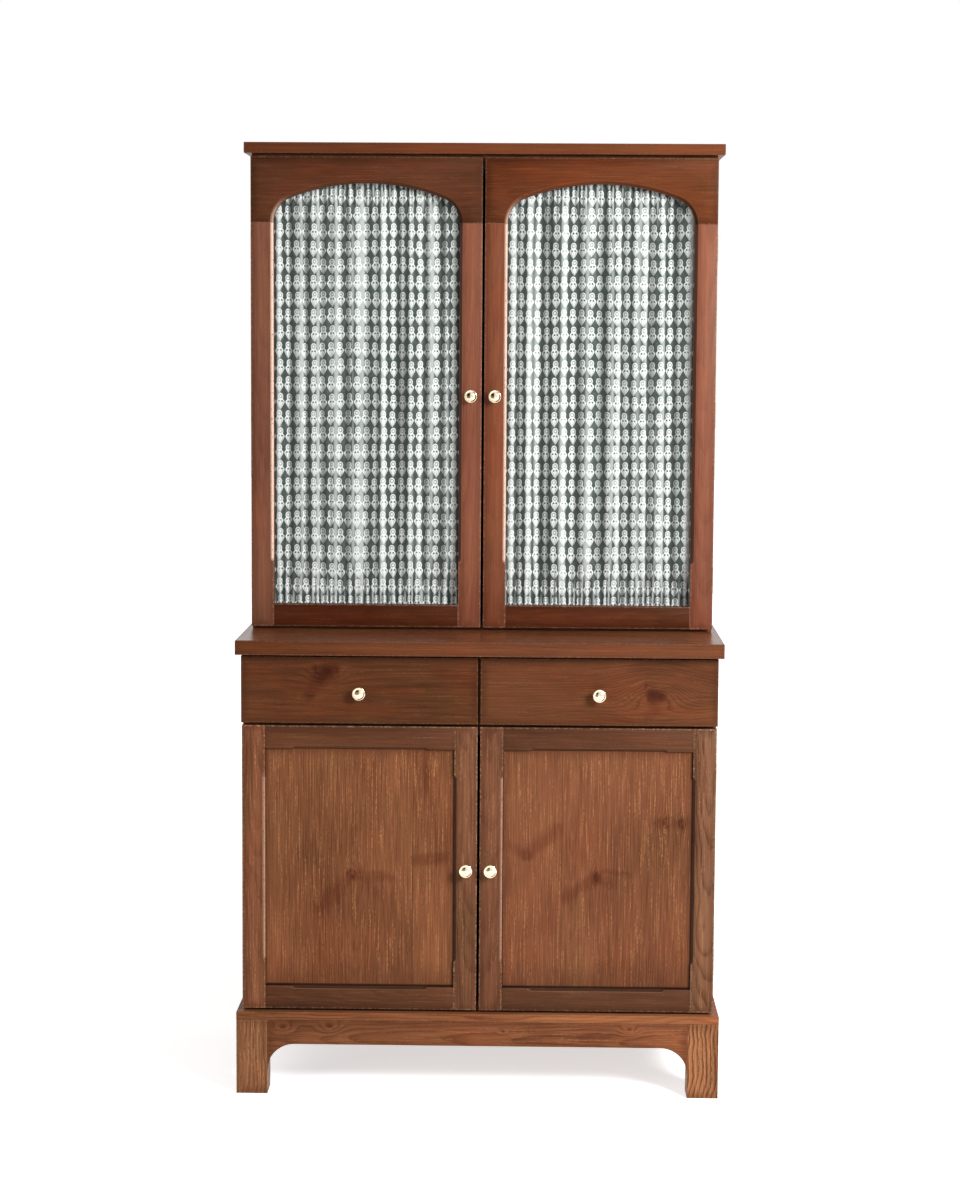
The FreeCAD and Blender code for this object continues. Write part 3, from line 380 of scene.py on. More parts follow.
class PineBoard:
    """A board of stained pine in its own shader, coloured coat by coat."""

    def __init__(self, name, node, stain, grain, seams):
        self.shader = Shader(name)
        self.dice = random.Random(name)
        self.low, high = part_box(node)
        self.size = high - self.low
        self.middle = (self.low + high) / 2
        along = "XYZ".index(grain) if grain else max(range(3), key=lambda i: self.size[i])
        rest = [axis for axis in range(3) if axis != along]
        depth = min(rest, key=lambda i: self.size[i])
        self.axes = (sum(rest) - depth, depth, along)
        self.spot = self.shader.spot()
        self.places = self.shader.split(self.spot)
        self.across, self.depth, self.along = [self.places[axis] for axis in self.axes]
        # Staves are glued side by side, each from another tree
        self.shift = sum(self.across.above(seam) for seam in seams) * STAVE_SHIFT
        self.ragged = (self.shader.noise(self.spot, 60.0, 3.0, 0.6) - 0.5) * 2.0
        self.tones = {kind: toned(stain, *row) for kind, row in TONES.items()}
        self.colour = stain

    def coat(self, share, colour, blend="MIX"):
        """Lay a colour over the board."""
        self.colour = self.shader.mix(share, self.colour, colour, blend)

    def edge(self):
        """Distance to the nearest edge: the middle one of those to three faces."""
        first, second, third = [self.size[i] / 2 - abs(self.places[i] - self.middle[i])
                                for i in range(3)]
        return first.least(second).most(first.most(second).least(third))

    def from_left(self, at_left, at_right):
        """A value that changes evenly from the board's left end to its right."""
        share = (self.places[0] - self.low.x) / self.size.x
        return share * (at_right - at_left) + at_left

    def streaks(self, kind, across, deeper=0.0, further=0.0):
        """One kind of noise along the grain, read so much deeper and further on."""
        fine, long, detail, roughness, jump_across, jump_along = STREAKS[kind]
        where = self.shader.join(across * fine + self.shift * jump_across,
                                 self.depth * fine + deeper,
                                 self.along * long + self.shift * jump_along + further)
        return self.shader.noise(where, 1.0, detail, roughness)

    def round_knots(self, knots):
        """Bend the grain round knots.

        Gives the way across along the bent grain, the hills that the rings climb,
        how near a knot is and the cores of the knots.
        """
        bent, hills, near, cores = self.across, 0.0, 0.0, 0.0
        for knot_across, knot_along, radius in knots:
            off_across = self.across - knot_across
            away = hypotenuse(off_across, (self.along - knot_along) * KNOT_STRETCH)
            pull = away.bell(radius * KNOT_BEND)
            core = 1 - (away + self.ragged * radius * 0.5).between(radius * 0.4, radius * 1.1)
            bent = bent - off_across * pull * 0.75
            hills = away.bell(radius * KNOT_LIFT) * (radius * 1.9) + hills
            near = pull.most(near)
            cores = core.most(cores)
        return bent, hills, near, cores

    def late_wood(self, bent, hills, rings, lean, wavy, heart):
        """Year rings round the heart: low in their early wood, 1 in their late wood."""
        middle_across, middle_depth, middle_along = [self.middle[axis] for axis in self.axes]
        draw = self.dice.uniform
        drawn = (middle_across + self.size[self.axes[0]] * draw(*HEART_ACROSS),
                 draw(*HEART_DEPTH), middle_along)
        heart_across, heart_depth, heart_along = heart or drawn
        face = self.low.y if self.axes[1] == 1 else middle_depth
        drift = self.shader.join(
            self.across * SWAYS_ACROSS + self.shift * 40.0 + draw(0, 9),
            self.depth * SWAYS_ACROSS, self.along * SWAYS_ALONG * wavy + draw(0, 9))
        sway = (self.shader.noise(drift, 1.0, 2.0, 0.45) - 0.5) * SWAY
        onward = self.along - heart_along
        radius = hypotenuse(
            bent - heart_across + sway + self.shift * 0.35 + onward * draw(-0.02, 0.02),
            self.depth - face + onward * lean - heart_depth + sway * 0.6) + hills
        ring = (radius / rings + self.shader.noise(drift, 3.1, 3.0) * 1.3).part()
        return self.shader.ramp(ring, *RING_TONE)

    def stroke(self, fibre, x0, z0, x1, z1, half, strength):
        """Draw a soft mark on the front from one point to another."""
        step_x, step_z = x1 - x0, z1 - z0
        off_x, off_z = self.places[0] - x0, self.places[2] - z0
        share = (off_x * step_x + off_z * step_z) / (step_x ** 2 + step_z ** 2)
        share = share.most(0.0).least(1.0)
        away = hypotenuse(off_x - share * step_x, off_z - share * step_z)
        away = away + (self.ragged + fibre) * half * 0.55
        mark = (1 - away.between(half * 0.2, half * 1.35)) * abs(strength)
        self.coat(mark, DARK_FIGURE if strength > 0 else ORANGE_FIGURE, "MULTIPLY")

    def paint_recess_shade(self, room, cloud):
        """Paint shade and shadow lines on a panel where the frame before it shades it."""
        left, bottom, right, top = room
        x, _, z = self.places
        low_side = (right - x).least(z - bottom - HIDDEN_FOOT)
        high_side = (x - left).least(top - z)
        line = ((1 - low_side.between(*LOW_LINE)) * 0.95).most(
            (1 - high_side.between(*HIGH_LINE)) * 0.7)
        dim = 1 - low_side.least(high_side).between(*DIM_STRIP)
        foot = 1 - (z - bottom + cloud * 0.06).between(*DARK_FOOT)
        self.coat((dim * 0.3).most(foot * 0.4), self.tones["deep"])
        self.coat(line, lighter(self.tones["deep"], 0.12))

    def wear(self, edge, worn, chamfer_cream):
        """Rub stain off edges, paint light and shade on marked chamfers, give the rubbed edges.
        """
        rubbed = self.shader.noise(self.spot, 210.0, 4.0, 0.75)
        edges = (1 - edge.between(*WORN_EDGE)) * rubbed.between(0.47, 0.62) * worn
        marked = self.shader.node("Attribute", {"attribute_name": "worn"}, output="Fac")
        inner = (self.places[1] - self.low.y).between(*CHAMFER) * 0.6 + 0.4
        chamfers = (marked * (0.5 + 0.5 * worn) * (0.45 + 0.55 * chamfer_cream)
                    * rubbed.between(0.26, 0.5) * inner)
        bare = self.tones["rubbed"]
        cream = [channel + (goal - channel) * chamfer_cream for channel, goal in zip(bare, CREAM)]
        self.coat(edges, bare)
        # Painted highlight on chamfers and arrises that face the lamps, broken up like wear
        self.coat(chamfers.most(0.0), (*cream, 1.0))
        # Painted shade on chamfers that face away from the lamps and on edges in the door gaps
        self.coat((marked * -0.7).most(0.0), lighter(self.tones["deep"], 0.3))
        return edges


def pine(node, stain, shade, grain=None, rings=0.0045, contrast=0.5, brushed=0.5, mottled=0.5,
         worn=0.4, lean=0.05, wavy=1.0, heart=None, knots=(), strokes=(), seams=(), gloss=0.45,
         sheen=0.2, painted_light_ramp=None, recess=None, patchy=0.5, chamfer_cream=0.0, front=None, figured=None):
    """Stained pine whose rings run through the board from a heart behind its face.

    stain is what the board's colour comes to, 0 to 255 a channel, shade makes it
    brighter or darker, and grain is the axis of the grain, else the longest.
    Year rings: rings is their spacing, contrast how strongly they show and figured
    how much more so at the left and right ends, lean how steeply they leave the
    face, wavy how often they wind and heart their middle (across, depth, along).
    Figure: knots are (across, along, radius), strokes soft dark marks, or orange
    ones where their strength is below 0 (from x, from z, to x, to z, half width,
    strength), seams places across where the next stave begins, brushed pale brush
    marks, mottled clouds and flecks and patchy changes of hue. Painted light:
    painted_light_ramp is painted brightness at the left and right ends, brighter
    nearer the key lamp, front a tint that paints shade on the front face and
    recess the room (left, bottom, right, top) that a frame leaves of a panel,
    round which shade and shadow lines are painted. Finish: worn is how
    far edges are rubbed and how strong the painted highlight and shade on chamfers
    are, chamfer_cream how far that painted highlight goes to cream, gloss how
    rough the board is and sheen how much it mirrors.
    """
    stain = srgb(*[channel * shade for channel in stain])
    board = PineBoard(node + "_pine", node, stain, grain, seams)
    shader, tones = board.shader, board.tones
    bent, hills, near, cores = board.round_knots(knots)
    late = board.late_wood(bent, hills, rings, lean, wavy, heart)
    fibre = board.streaks("fibre", bent) - 0.5
    marks = board.streaks("mark", bent, deeper=7.0)
    specks = board.streaks("speck", bent)
    fleck = board.streaks("fleck", bent) - 0.5
    cloud = board.streaks("cloud", board.across, further=board.dice.uniform(0, 9)) - 0.5
    hue = board.streaks("hue", board.across, further=board.dice.uniform(0, 9))

    # The stain, darker in late wood and cloudy, then its patches and brush marks
    figure = near * 0.45 + contrast
    if figured:
        figure = board.from_left(*figured) * figure
    tone = (0.5 - (late * 0.45 - 0.16) * figure + fibre * (0.5 + 0.7 * brushed)
            + cloud * 2.0 * mottled + fleck * 0.7 * mottled)
    board.colour = shader.ramp(tone, (0.0, tones["deep"]), (0.5, stain), (1.0, tones["warm"]))
    board.coat(hue.between(0.5, 0.72) * patchy, GREENER, "MULTIPLY")
    board.coat((1 - hue.between(0.3, 0.48)) * patchy, REDDER, "MULTIPLY")
    pale = (marks + fibre * 0.35).between(0.52, 0.67) * specks.between(0.42, 0.56) * brushed
    board.coat(pale * 0.85, tones["brushed"])

    # Glue lines, knots and figure
    for seam in seams:
        board.coat((1 - abs(board.across - seam).between(*GLUE_LINE)) * 0.5, tones["deep"])
    if knots:
        board.coat(cores * 0.7, tones["knot"])
    for stroke in strokes:
        board.stroke(fibre, *stroke)

    # What the board's place on the cabinet does to it: painted shade at its edges and
    # round a panel, painted lamp light from end to end, the front's painted shade, then
    # wear and painted light on chamfers
    edge = board.edge()
    # Painted shade along the edges, where the parts beside them shade them, partly stain
    board.coat((1 - edge.between(*BORDER_SHADE)) * 0.45, tones["deep"])
    # Painted shade and shadow lines round a panel, where the frame before it shades it
    if recess:
        board.paint_recess_shade(recess, cloud)
    # Painted lamp light: the board grows brighter towards its right end, nearer the key lamp
    if painted_light_ramp:
        board.colour = shader.node("VectorMath", {"operation": "SCALE"},
                                   {0: board.colour, "Scale": board.from_left(*painted_light_ramp)})
    # Painted shade on the front face: darker and warmer than the top, taking back the grey of the
    # room it mirrors
    if front:
        skin = 1 - (board.places[1] - board.low.y).between(*FRONT_SKIN)
        board.coat(skin, (*front, 1.0), "MULTIPLY")
    rubbed = board.wear(edge, worn, chamfer_cream)

    rough = gloss + fibre * 0.2 + late * 0.06 + rubbed * 0.12
    height = (1 - late) * 0.3 * contrast + fibre * 0.6 + marks * 0.4 * brushed
    return shader.surface({
        "Base Color": board.colour, "Roughness": rough.most(0.12),
        "Normal": shader.bump(height, GRAIN_DEPTH), "Specular IOR Level": sheen,
        "Specular Tint": (1.0, 0.7, 0.5, 1.0)})


# Metal and moulded cases

# What tarnish leaves of the brass's channels
TARNISH = (0.45, 0.36, 0.28)


def brass(name, colour, roughness, wear):
    """Lacquered brass with a fine grain and a little tarnish."""
    shader = Shader(name)
    spot = shader.spot()
    grain = shader.noise(spot, 2600.0, 2.0, 0.6)
    tarnish = shader.noise(spot, 180.0, 4.0, 0.6).between(0.5, 0.78) * wear
    return shader.surface({
        "Base Color": shader.mix(tarnish, colour, toned(colour, TARNISH)), "Metallic": 1.0,
        "Roughness": roughness + tarnish * 0.5 + (grain - 0.5) * 0.1,
        "Normal": shader.bump(grain, 0.00001, 0.5)})


def moulded_case(name, colour):
    """The dull brown cases of the catches."""
    shader = Shader(name)
    spot = shader.spot()
    grain = shader.noise(spot, 900.0, 3.0, 0.6)
    tint = shader.mix(grain.between(0.3, 0.8), colour, lighter(colour, 1.35))
    return shader.surface({"Base Color": tint, "Roughness": 0.45 + grain * 0.2,
                           "Normal": shader.bump(grain, 0.00005)})


# Settings

def length_setting(name, description, default):
    """A length in metres."""
    return bpy.props.FloatProperty(name=name, description=description, default=default,
                                   unit="LENGTH")


def shade_setting(name, description):
    """A brightness, 1 as in the photograph."""
    return bpy.props.FloatProperty(name=name, description=description, default=1.0, min=0.1,
                                   max=2.0)


def colour_setting(name, description, *channels):
    """A colour, given as 0 to 255 a channel."""
    return bpy.props.FloatVectorProperty(name=name, description=description, subtype="COLOR",
                                         size=3, default=srgb(*channels)[:3])


def power_setting(name, description, default):
    """A lamp's power in watts."""
    return bpy.props.FloatProperty(name=name, description=description, default=default,
                                   unit="POWER")


class WoodSettings(bpy.types.PropertyGroup):
    """Stains and edges of the woodwork."""

    upper_shade: shade_setting("Upper shade", "Brightness of the upper cupboard's stain")
    lower_shade: shade_setting("Lower shade", "Brightness of the lower cupboard's stain")
    inner_shade: shade_setting("Inner shade", "Brightness of the stain inside the cupboards")
    frame_ease: length_setting("Frame easing", "Rounding of the door frames' edges", 0.0009)


class KnobSettings(bpy.types.PropertyGroup):
    """Finish and facets of the knobs."""

    brass_colour: colour_setting("Brass", "Colour of the polished brass", 242, 229, 198)
    roughness: bpy.props.FloatProperty(
        name="Roughness", description="How dull the brass is", default=0.1, min=0.0, max=1.0)
    sides: bpy.props.IntProperty(
        name="Sides", description="Facets round a knob", default=56, min=12)


class CurtainSettings(bpy.types.PropertyGroup):
    """Size, folds and print of the two curtains."""

    flat_width: length_setting("Flat width", "Width of the cloth before it is gathered", 0.440)
    fold_width: length_setting("Fold width", "Mean distance from a ridge to the next valley",
                               0.0240)
    fold_depth: length_setting("Fold depth", "How far a ridge stands before the cloth's middle",
                               0.0036)
    crease_width: length_setting("Crease width", "Mean half width of the creases in the folds",
                                 0.0088)
    crease_depth: length_setting("Crease depth", "Depth of the small creases", 0.0008)
    gather_width: length_setting("Gather width", "Mean half width of the gathers at the rods",
                                 0.0048)
    gather_depth: length_setting("Gather depth", "Depth of the small gathers", 0.0019)
    thickness: length_setting("Thickness", "Thickness of the cotton", 0.0004)
    bud_pitch: length_setting("Bud pitch", "One printed bud to the next across the flat cloth",
                              0.0192)
    row_pitch: length_setting("Row pitch", "One row of buds to the next", 0.0331)
    ground: colour_setting("Ground", "Colour between the buds", 64, 73, 69)
    bud: colour_setting("Bud", "Colour of the printed buds", 220, 225, 222)


class StageSettings(bpy.types.PropertyGroup):
    """Lamps and the light of the room."""

    key_power: power_setting("Key lamp", "Power of the large lamp at the front right", 200.0)
    fill_power: power_setting("Fill lamp", "Power of the large lamp at the front left", 44.0)
    room_light: bpy.props.FloatProperty(
        name="Room light", description="Strength of the light from all round", default=0.36,
        min=0.0)


# Woodwork

# What boards share
SMOOTH = dict(contrast=0.25, brushed=0.15, mottled=0.35, worn=0.2, gloss=0.42)
PLAIN = dict(contrast=0.7, brushed=0.3, worn=0.1, gloss=0.6, lean=0.01)
DRAWER = dict(brushed=0.35, lean=0.02, mottled=0.7, patchy=0.9)
PANEL = dict(contrast=0.25, rings=0.0048, worn=0.0)
# The boards that show
BOARDS = {
    "crown_board": dict(SMOOTH, stain=(108, 56, 31), lean=0.01, painted_light_ramp=(0.72, 1.28)),
    "upper_left_side": dict(SMOOTH, stain=(110, 62, 42), seams=(0.06, 0.155)),
    "upper_right_side": dict(SMOOTH, stain=(126, 72, 48), seams=(0.09, 0.17)),
    "worktop": dict(
        stain=(110, 64, 40), contrast=0.5, brushed=0.25, worn=0.3, gloss=0.24, sheen=0.35,
        seams=(-0.12, 0.0, 0.11), lean=0.012, painted_light_ramp=(0.84, 1.22), front=(0.82, 0.71, 0.6)),
    "lower_left_side": dict(stain=(120, 74, 48), seams=(-0.06, 0.05, 0.15)),
    "lower_right_side": dict(stain=(130, 82, 56), seams=(-0.09, 0.03, 0.14)),
    "left_drawer_front": dict(
        DRAWER, stain=(81, 44, 23), contrast=0.3, rings=0.006, painted_light_ramp=(0.92, 1.08),
        knots=((0.822, -0.291, 0.008), (0.775, -0.322, 0.0035)),
        strokes=((-0.300, 0.818, -0.284, 0.823, 0.020, 0.95),
                 (-0.325, 0.776, -0.305, 0.803, 0.015, 0.35),
                 (-0.212, 0.787, -0.105, 0.786, 0.004, -0.5))),
    "right_drawer_front": dict(
        DRAWER, stain=(84, 46, 26), contrast=0.4, rings=0.0042, painted_light_ramp=(0.88, 1.18),
        knots=((0.780, 0.336, 0.014), (0.801, 0.318, 0.003)),
        strokes=((0.328, 0.781, 0.344, 0.779, 0.012, 0.8),
                 (0.322, 0.741, 0.336, 0.752, 0.012, 0.3))),
    "lower_left_door_panel": dict(
        PANEL, stain=(115, 69, 44), brushed=1.2, lean=0.11, painted_light_ramp=(0.95, 1.05),
        heart=(-0.235, 0.012, 0.44), seams=(-0.125,), recess=(-0.409, 0.21, -0.0465, 0.673),
        knots=((-0.241, 0.424, 0.004),),
        strokes=((-0.250, 0.418, -0.303, 0.362, 0.019, 0.5),
                 (-0.241, 0.428, -0.170, 0.424, 0.013, 0.4),
                 (-0.236, 0.420, -0.185, 0.385, 0.014, 0.2),
                 (-0.118, 0.456, -0.064, 0.464, 0.014, 0.5))),
    "lower_right_door_panel": dict(
        PANEL, stain=(114, 68, 45), brushed=1.15, lean=0.1, heart=(0.24, 0.012, 0.45),
        seams=(0.16,), recess=(0.0465, 0.21, 0.409, 0.673),
        knots=((0.226, 0.428, 0.0035), (0.3555, 0.534, 0.004), (0.385, 0.534, 0.004)),
        strokes=((0.222, 0.426, 0.172, 0.388, 0.016, 0.5),
                 (0.226, 0.428, 0.252, 0.416, 0.014, 0.4),
                 (0.242, 0.440, 0.290, 0.431, 0.007, 0.35),
                 (0.093, 0.468, 0.152, 0.520, 0.016, 0.45),
                 (0.093, 0.468, 0.060, 0.487, 0.012, 0.35),
                 (0.345, 0.533, 0.395, 0.535, 0.014, 0.5))),
    "plinth_board": dict(stain=(147, 92, 59), lean=0.015, contrast=0.7, worn=0.12, mottled=0.7,
                         wavy=1.8, painted_light_ramp=(0.84, 1.22)),
    "front_feet": dict(
        stain=(140, 92, 62), grain="Z", contrast=0.7, brushed=1.2, lean=0.1, rings=0.0085,
        mottled=0.7, worn=0.4, wavy=5.0, painted_light_ramp=(0.87, 1.07), figured=(0.8, 2.6)),
    "rear_feet": dict(stain=(136, 88, 58), grain="Z", contrast=0.8, lean=0.03),
    "rear_apron": dict(PLAIN, stain=(120, 78, 50)),
}
# The boards inside: how bright their one stain is on them, and what they share
INNER_STAIN = (132, 90, 60)
INNER_BOARDS = (
    (0.95, PLAIN, ("upper_top_panel", "upper_bottom_panel", "upper_shelves", "drawer_deck",
                   "lower_bottom_panel", "lower_shelf", "stretchers")),
    (1.0, dict(PLAIN, grain="Z", seams=(-0.29, -0.14, 0.01, 0.16, 0.3)),
     ("upper_back_panel", "lower_back_panel")),
    (1.0, dict(PLAIN, grain="Y"), ("drawer_divider",)),
    (1.25, dict(PLAIN, grain="Y"), ("left_drawer_box", "right_drawer_box")),
)
# The pieces whose edges are eased: what some share, and each one's stain
UPPER = dict(contrast=0.25, brushed=0.25, mottled=0.45, worn=0.6, gloss=0.4, chamfer_cream=1.0)
LOWER = dict(contrast=0.45, brushed=1.0, mottled=0.6, worn=0.95, gloss=0.46, rings=0.0045,
             chamfer_cream=0.3, wavy=2.0)
PLINTH = dict(lean=0.03, contrast=0.85, brushed=0.7, mottled=0.7, worn=0.15, wavy=1.8)
FRAMES = (
    (dict(UPPER, sheen=0.3), {
        "upper_left_door_hinge_stile": (108, 65, 49),
        "upper_left_door_meeting_stile": (121, 69, 51),
        "upper_right_door_meeting_stile": (110, 59, 39),
        "upper_right_door_hinge_stile": (122, 71, 53)}),
    (dict(UPPER, sheen=0.1), {
        "upper_left_door_bottom_rail": (78, 36, 19),
        "upper_right_door_bottom_rail": (81, 40, 23)}),
    (dict(UPPER, grain="X", mottled=0.7, worn=0.45, chamfer_cream=0.6, sheen=0.1, patchy=0.9,
          painted_light_ramp=(0.9, 1.12)), {
        "upper_left_door_arched_rail": (77, 42, 26),
        "upper_right_door_arched_rail": (87, 44, 23)}),
    (LOWER, {
        "lower_left_door_hinge_stile": (116, 70, 47),
        "lower_left_door_meeting_stile": (108, 68, 47),
        "lower_right_door_meeting_stile": (104, 63, 44)}),
    (dict(LOWER, contrast=1.0), {"lower_right_door_hinge_stile": (108, 73, 53)}),
    (dict(LOWER, grain="X", contrast=0.35, brushed=0.4, rings=0.003), {
        "lower_left_door_rails": (81, 46, 29),
        "lower_right_door_rails": (79, 46, 30)}),
    (dict(PLINTH, grain="X", painted_light_ramp=(0.84, 1.2), knots=(
        (0.132, -0.374, 0.004), (0.135, -0.284, 0.005), (0.134, 0.292, 0.0045),
        (0.127, 0.05, 0.002))), {"front_apron": (112, 65, 41)}),
    (dict(PLINTH, grain="Y"), {"side_aprons": (128, 78, 50)}),
)
# How dark the lower doors' chamfers are that face up
LOWER_RAILS = -0.8


class CABINET_OT_boards(bpy.types.Operator):
    """Stain the boards, sides, drawers, plinth and panels"""

    bl_idname = "cabinet.boards"
    bl_label = "Stain the boards"

    def execute(self, context):
        woods = context.scene.cabinet_wood
        for node, settings in BOARDS.items():
            upper = node.startswith(("upper", "crown"))
            shade = woods.upper_shade if upper else woods.lower_shade
            give(NODES[node], pine(node, shade=shade, **settings))
        for brightness, settings, nodes in INNER_BOARDS:
            for node in nodes:
                shade = woods.inner_shade * brightness
                give(NODES[node], pine(node, INNER_STAIN, shade, **settings))
        return {"FINISHED"}


class CABINET_OT_frames(bpy.types.Operator):
    """Round over the door frames and the aprons and stain them"""

    bl_idname = "cabinet.frames"
    bl_label = "Finish the frames"

    def execute(self, context):
        woods = context.scene.cabinet_wood
        for settings, stains in FRAMES:
            for node, stain in stains.items():
                upper = node.startswith("upper")
                shade = woods.upper_shade if upper else woods.lower_shade
                wood = pine(node, stain, shade, **settings)
                piece = eased_copy(node, woods.frame_ease)
                mark_lit_and_shaded_edges(piece, LOWER_RAILS if node.startswith("lower") else 0.0)
                put_on(piece, node, wood)
        return {"FINISHED"}


# Knobs

KNOB_NODES = [front + "_knob" for front in (
    "upper_left_door", "upper_right_door", "lower_left_door", "lower_right_door",
    "left_drawer", "right_drawer")]
# Radius and distance out of the wood along a knob, in shares of its radius and length
KNOB_TURNING_SHARES = (
    (0.600, 0.050), (0.585, 0.095), (0.470, 0.125), (0.385, 0.165), (0.350, 0.240),
    (0.352, 0.400), (0.400, 0.520), (0.530, 0.640), (0.740, 0.740), (0.930, 0.800),
    (0.985, 0.830), (1.000, 0.865), (0.992, 0.900), (0.955, 0.918), (0.880, 0.922),
    (0.745, 0.900), (0.705, 0.896), (0.680, 0.910), (0.655, 0.930), (0.560, 0.956),
    (0.380, 0.984), (0.190, 0.997))
FOOT_SHARE = KNOB_TURNING_SHARES[0][0] * 1.01
# The tip of the dome: how far in its last ring lies and how far it rises
TIP_INSET_SHARE, TIP_RISE_SHARE = 0.16, 0.003


class CABINET_OT_knobs(bpy.types.Operator):
    """Turn six brass knobs"""

    bl_idname = "cabinet.knobs"
    bl_label = "Turn the knobs"

    def execute(self, context):
        settings = context.scene.cabinet_knobs
        metal = brass("knob_brass", (*settings.brass_colour, 1.0), settings.roughness, 0.12)
        first = None
        for node in KNOB_NODES:
            low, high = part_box(node)
            foot = Vector(((low.x + high.x) / 2, high.y, (low.z + high.z) / 2))
            if first is None:
                piece = self.turn(foot, (high.x - low.x) / 2, high.y - low.y, settings.sides)
                first, first_foot = piece, foot
            else:
                only(first)
                bpy.ops.object.duplicate()
                piece = bpy.context.object
                piece.data.transform(Matrix.Translation(foot - first_foot))
            piece.name = node + "_turned"
        for node in KNOB_NODES:
            put_on(bpy.data.objects[node + "_turned"], node, metal)
        return {"FINISHED"}

    def turn(self, foot, radius, length, sides):
        """One knob: a disc drawn out ring by ring from its foot."""
        bpy.ops.object.select_all(action="DESELECT")
        bpy.ops.mesh.primitive_circle_add(
            vertices=sides, radius=radius * FOOT_SHARE, fill_type="NGON", location=foot,
            rotation=(math.radians(90), 0, 0))
        knob = bpy.context.object
        bpy.ops.object.transform_apply(location=True, rotation=True, scale=True)
        bpy.ops.object.mode_set(mode="EDIT")
        bpy.ops.mesh.select_all(action="SELECT")
        bpy.ops.mesh.select_mode(type="FACE")
        last_share, last_out = FOOT_SHARE, 0.0
        for share, out in KNOB_TURNING_SHARES:
            step = (0, -(out - last_out) * length, 0)
            bpy.ops.mesh.extrude_region_move(TRANSFORM_OT_translate={"value": step})
            scale = share / last_share
            centre = foot + Vector((0, -out * length, 0))
            bpy.ops.transform.resize(value=(scale, 1, scale), center_override=centre)
            last_share, last_out = share, out
        bpy.ops.mesh.inset(thickness=radius * TIP_INSET_SHARE)
        bpy.ops.transform.translate(value=(0, -length * TIP_RISE_SHARE, 0))
        bpy.ops.mesh.poke()
        bpy.ops.mesh.select_all(action="SELECT")
        bpy.ops.mesh.normals_make_consistent(inside=False)
        bpy.ops.object.mode_set(mode="OBJECT")
        finish_with(knob, "SUBSURF", levels=1, render_levels=1)
        smooth_below(knob, 60)
        return knob


class CABINET_OT_fittings(bpy.types.Operator):
    """Finish the hinges, curtain rods and catches"""

    bl_idname = "cabinet.fittings"
    bl_label = "Finish the fittings"

    def execute(self, context):
        colour = (*context.scene.cabinet_knobs.brass_colour, 1.0)
        dull = brass("hinge_brass", lighter(colour, 0.72), 0.34, 0.6)
        rod = brass("rod_brass", lighter(colour, 0.9), 0.26, 0.3)
        case = moulded_case("catch_case", srgb(74, 52, 38))
        ends = {"_plates": dull, "hinge_frame_leaves": dull, "_rods": rod,
                "magnetic_catches": case}
        for node, piece in NODES.items():
            for end, material in ends.items():
                if node.endswith(end):
                    give(piece, material)
        return {"FINISHED"}


# Curtains

# The way of the cloth round a rod, from its hem behind the rod over the top to
# the front: metres before (-) or behind the rod's middle, and above it
POCKET = ((-0.0019, -0.0066), (-0.0004, -0.0055), (0.0017, -0.0040), (0.0034, -0.0021),
          (0.0039, 0.0), (0.0034, 0.0021), (0.0019, 0.0038), (0.0005, 0.0050),
          (0.0002, 0.0062), (0.0002, 0.0076), (0.0000, 0.0086), (-0.0008, 0.0088),
          (-0.0014, 0.0080), (-0.0016, 0.0064), (-0.0018, 0.0052), (-0.0028, 0.0040),
          (-0.0037, 0.0022), (-0.0040, 0.0), (-0.0038, -0.0022), (-0.0033, -0.0044),
          (-0.0030, -0.0070))
# Metres from a rod's middle to the cloth's end, to the back of its room, to the
# free cloth before it and down to where the free cloth begins
ROD_TO_END, ROD_TO_BACK, ROD_TO_FACE, ROD_TO_FREE = 0.009, 0.0051, 0.0030, 0.0085
FREE_ROWS, COLUMNS = 104, 318
# The cloth comes at most so far out of its plane
MOST_WAVE = 0.0054
# How far a ridge drifts to the side on its way down, in metres
FOLD_DRIFT, GATHER_DRIFT, CREASE_DRIFT = 0.0016, 0.0004, 0.0012
# Metres from a rod over which the folds open, the gathers open and die away
# again, and the creases begin
FOLDS_OPEN = (0.002, 0.09)
GATHERS_OPEN, GATHERS_END = (0.002, 0.016), (0.02, 0.12)
CREASES_OPEN = (0.0, 0.05)
# How much folds, creases and gathers count for how deep in a fold the cloth lies
FOLD_WEIGHT, CREASE_WEIGHT, GATHER_WEIGHT = 1.2, 0.7, 1.5


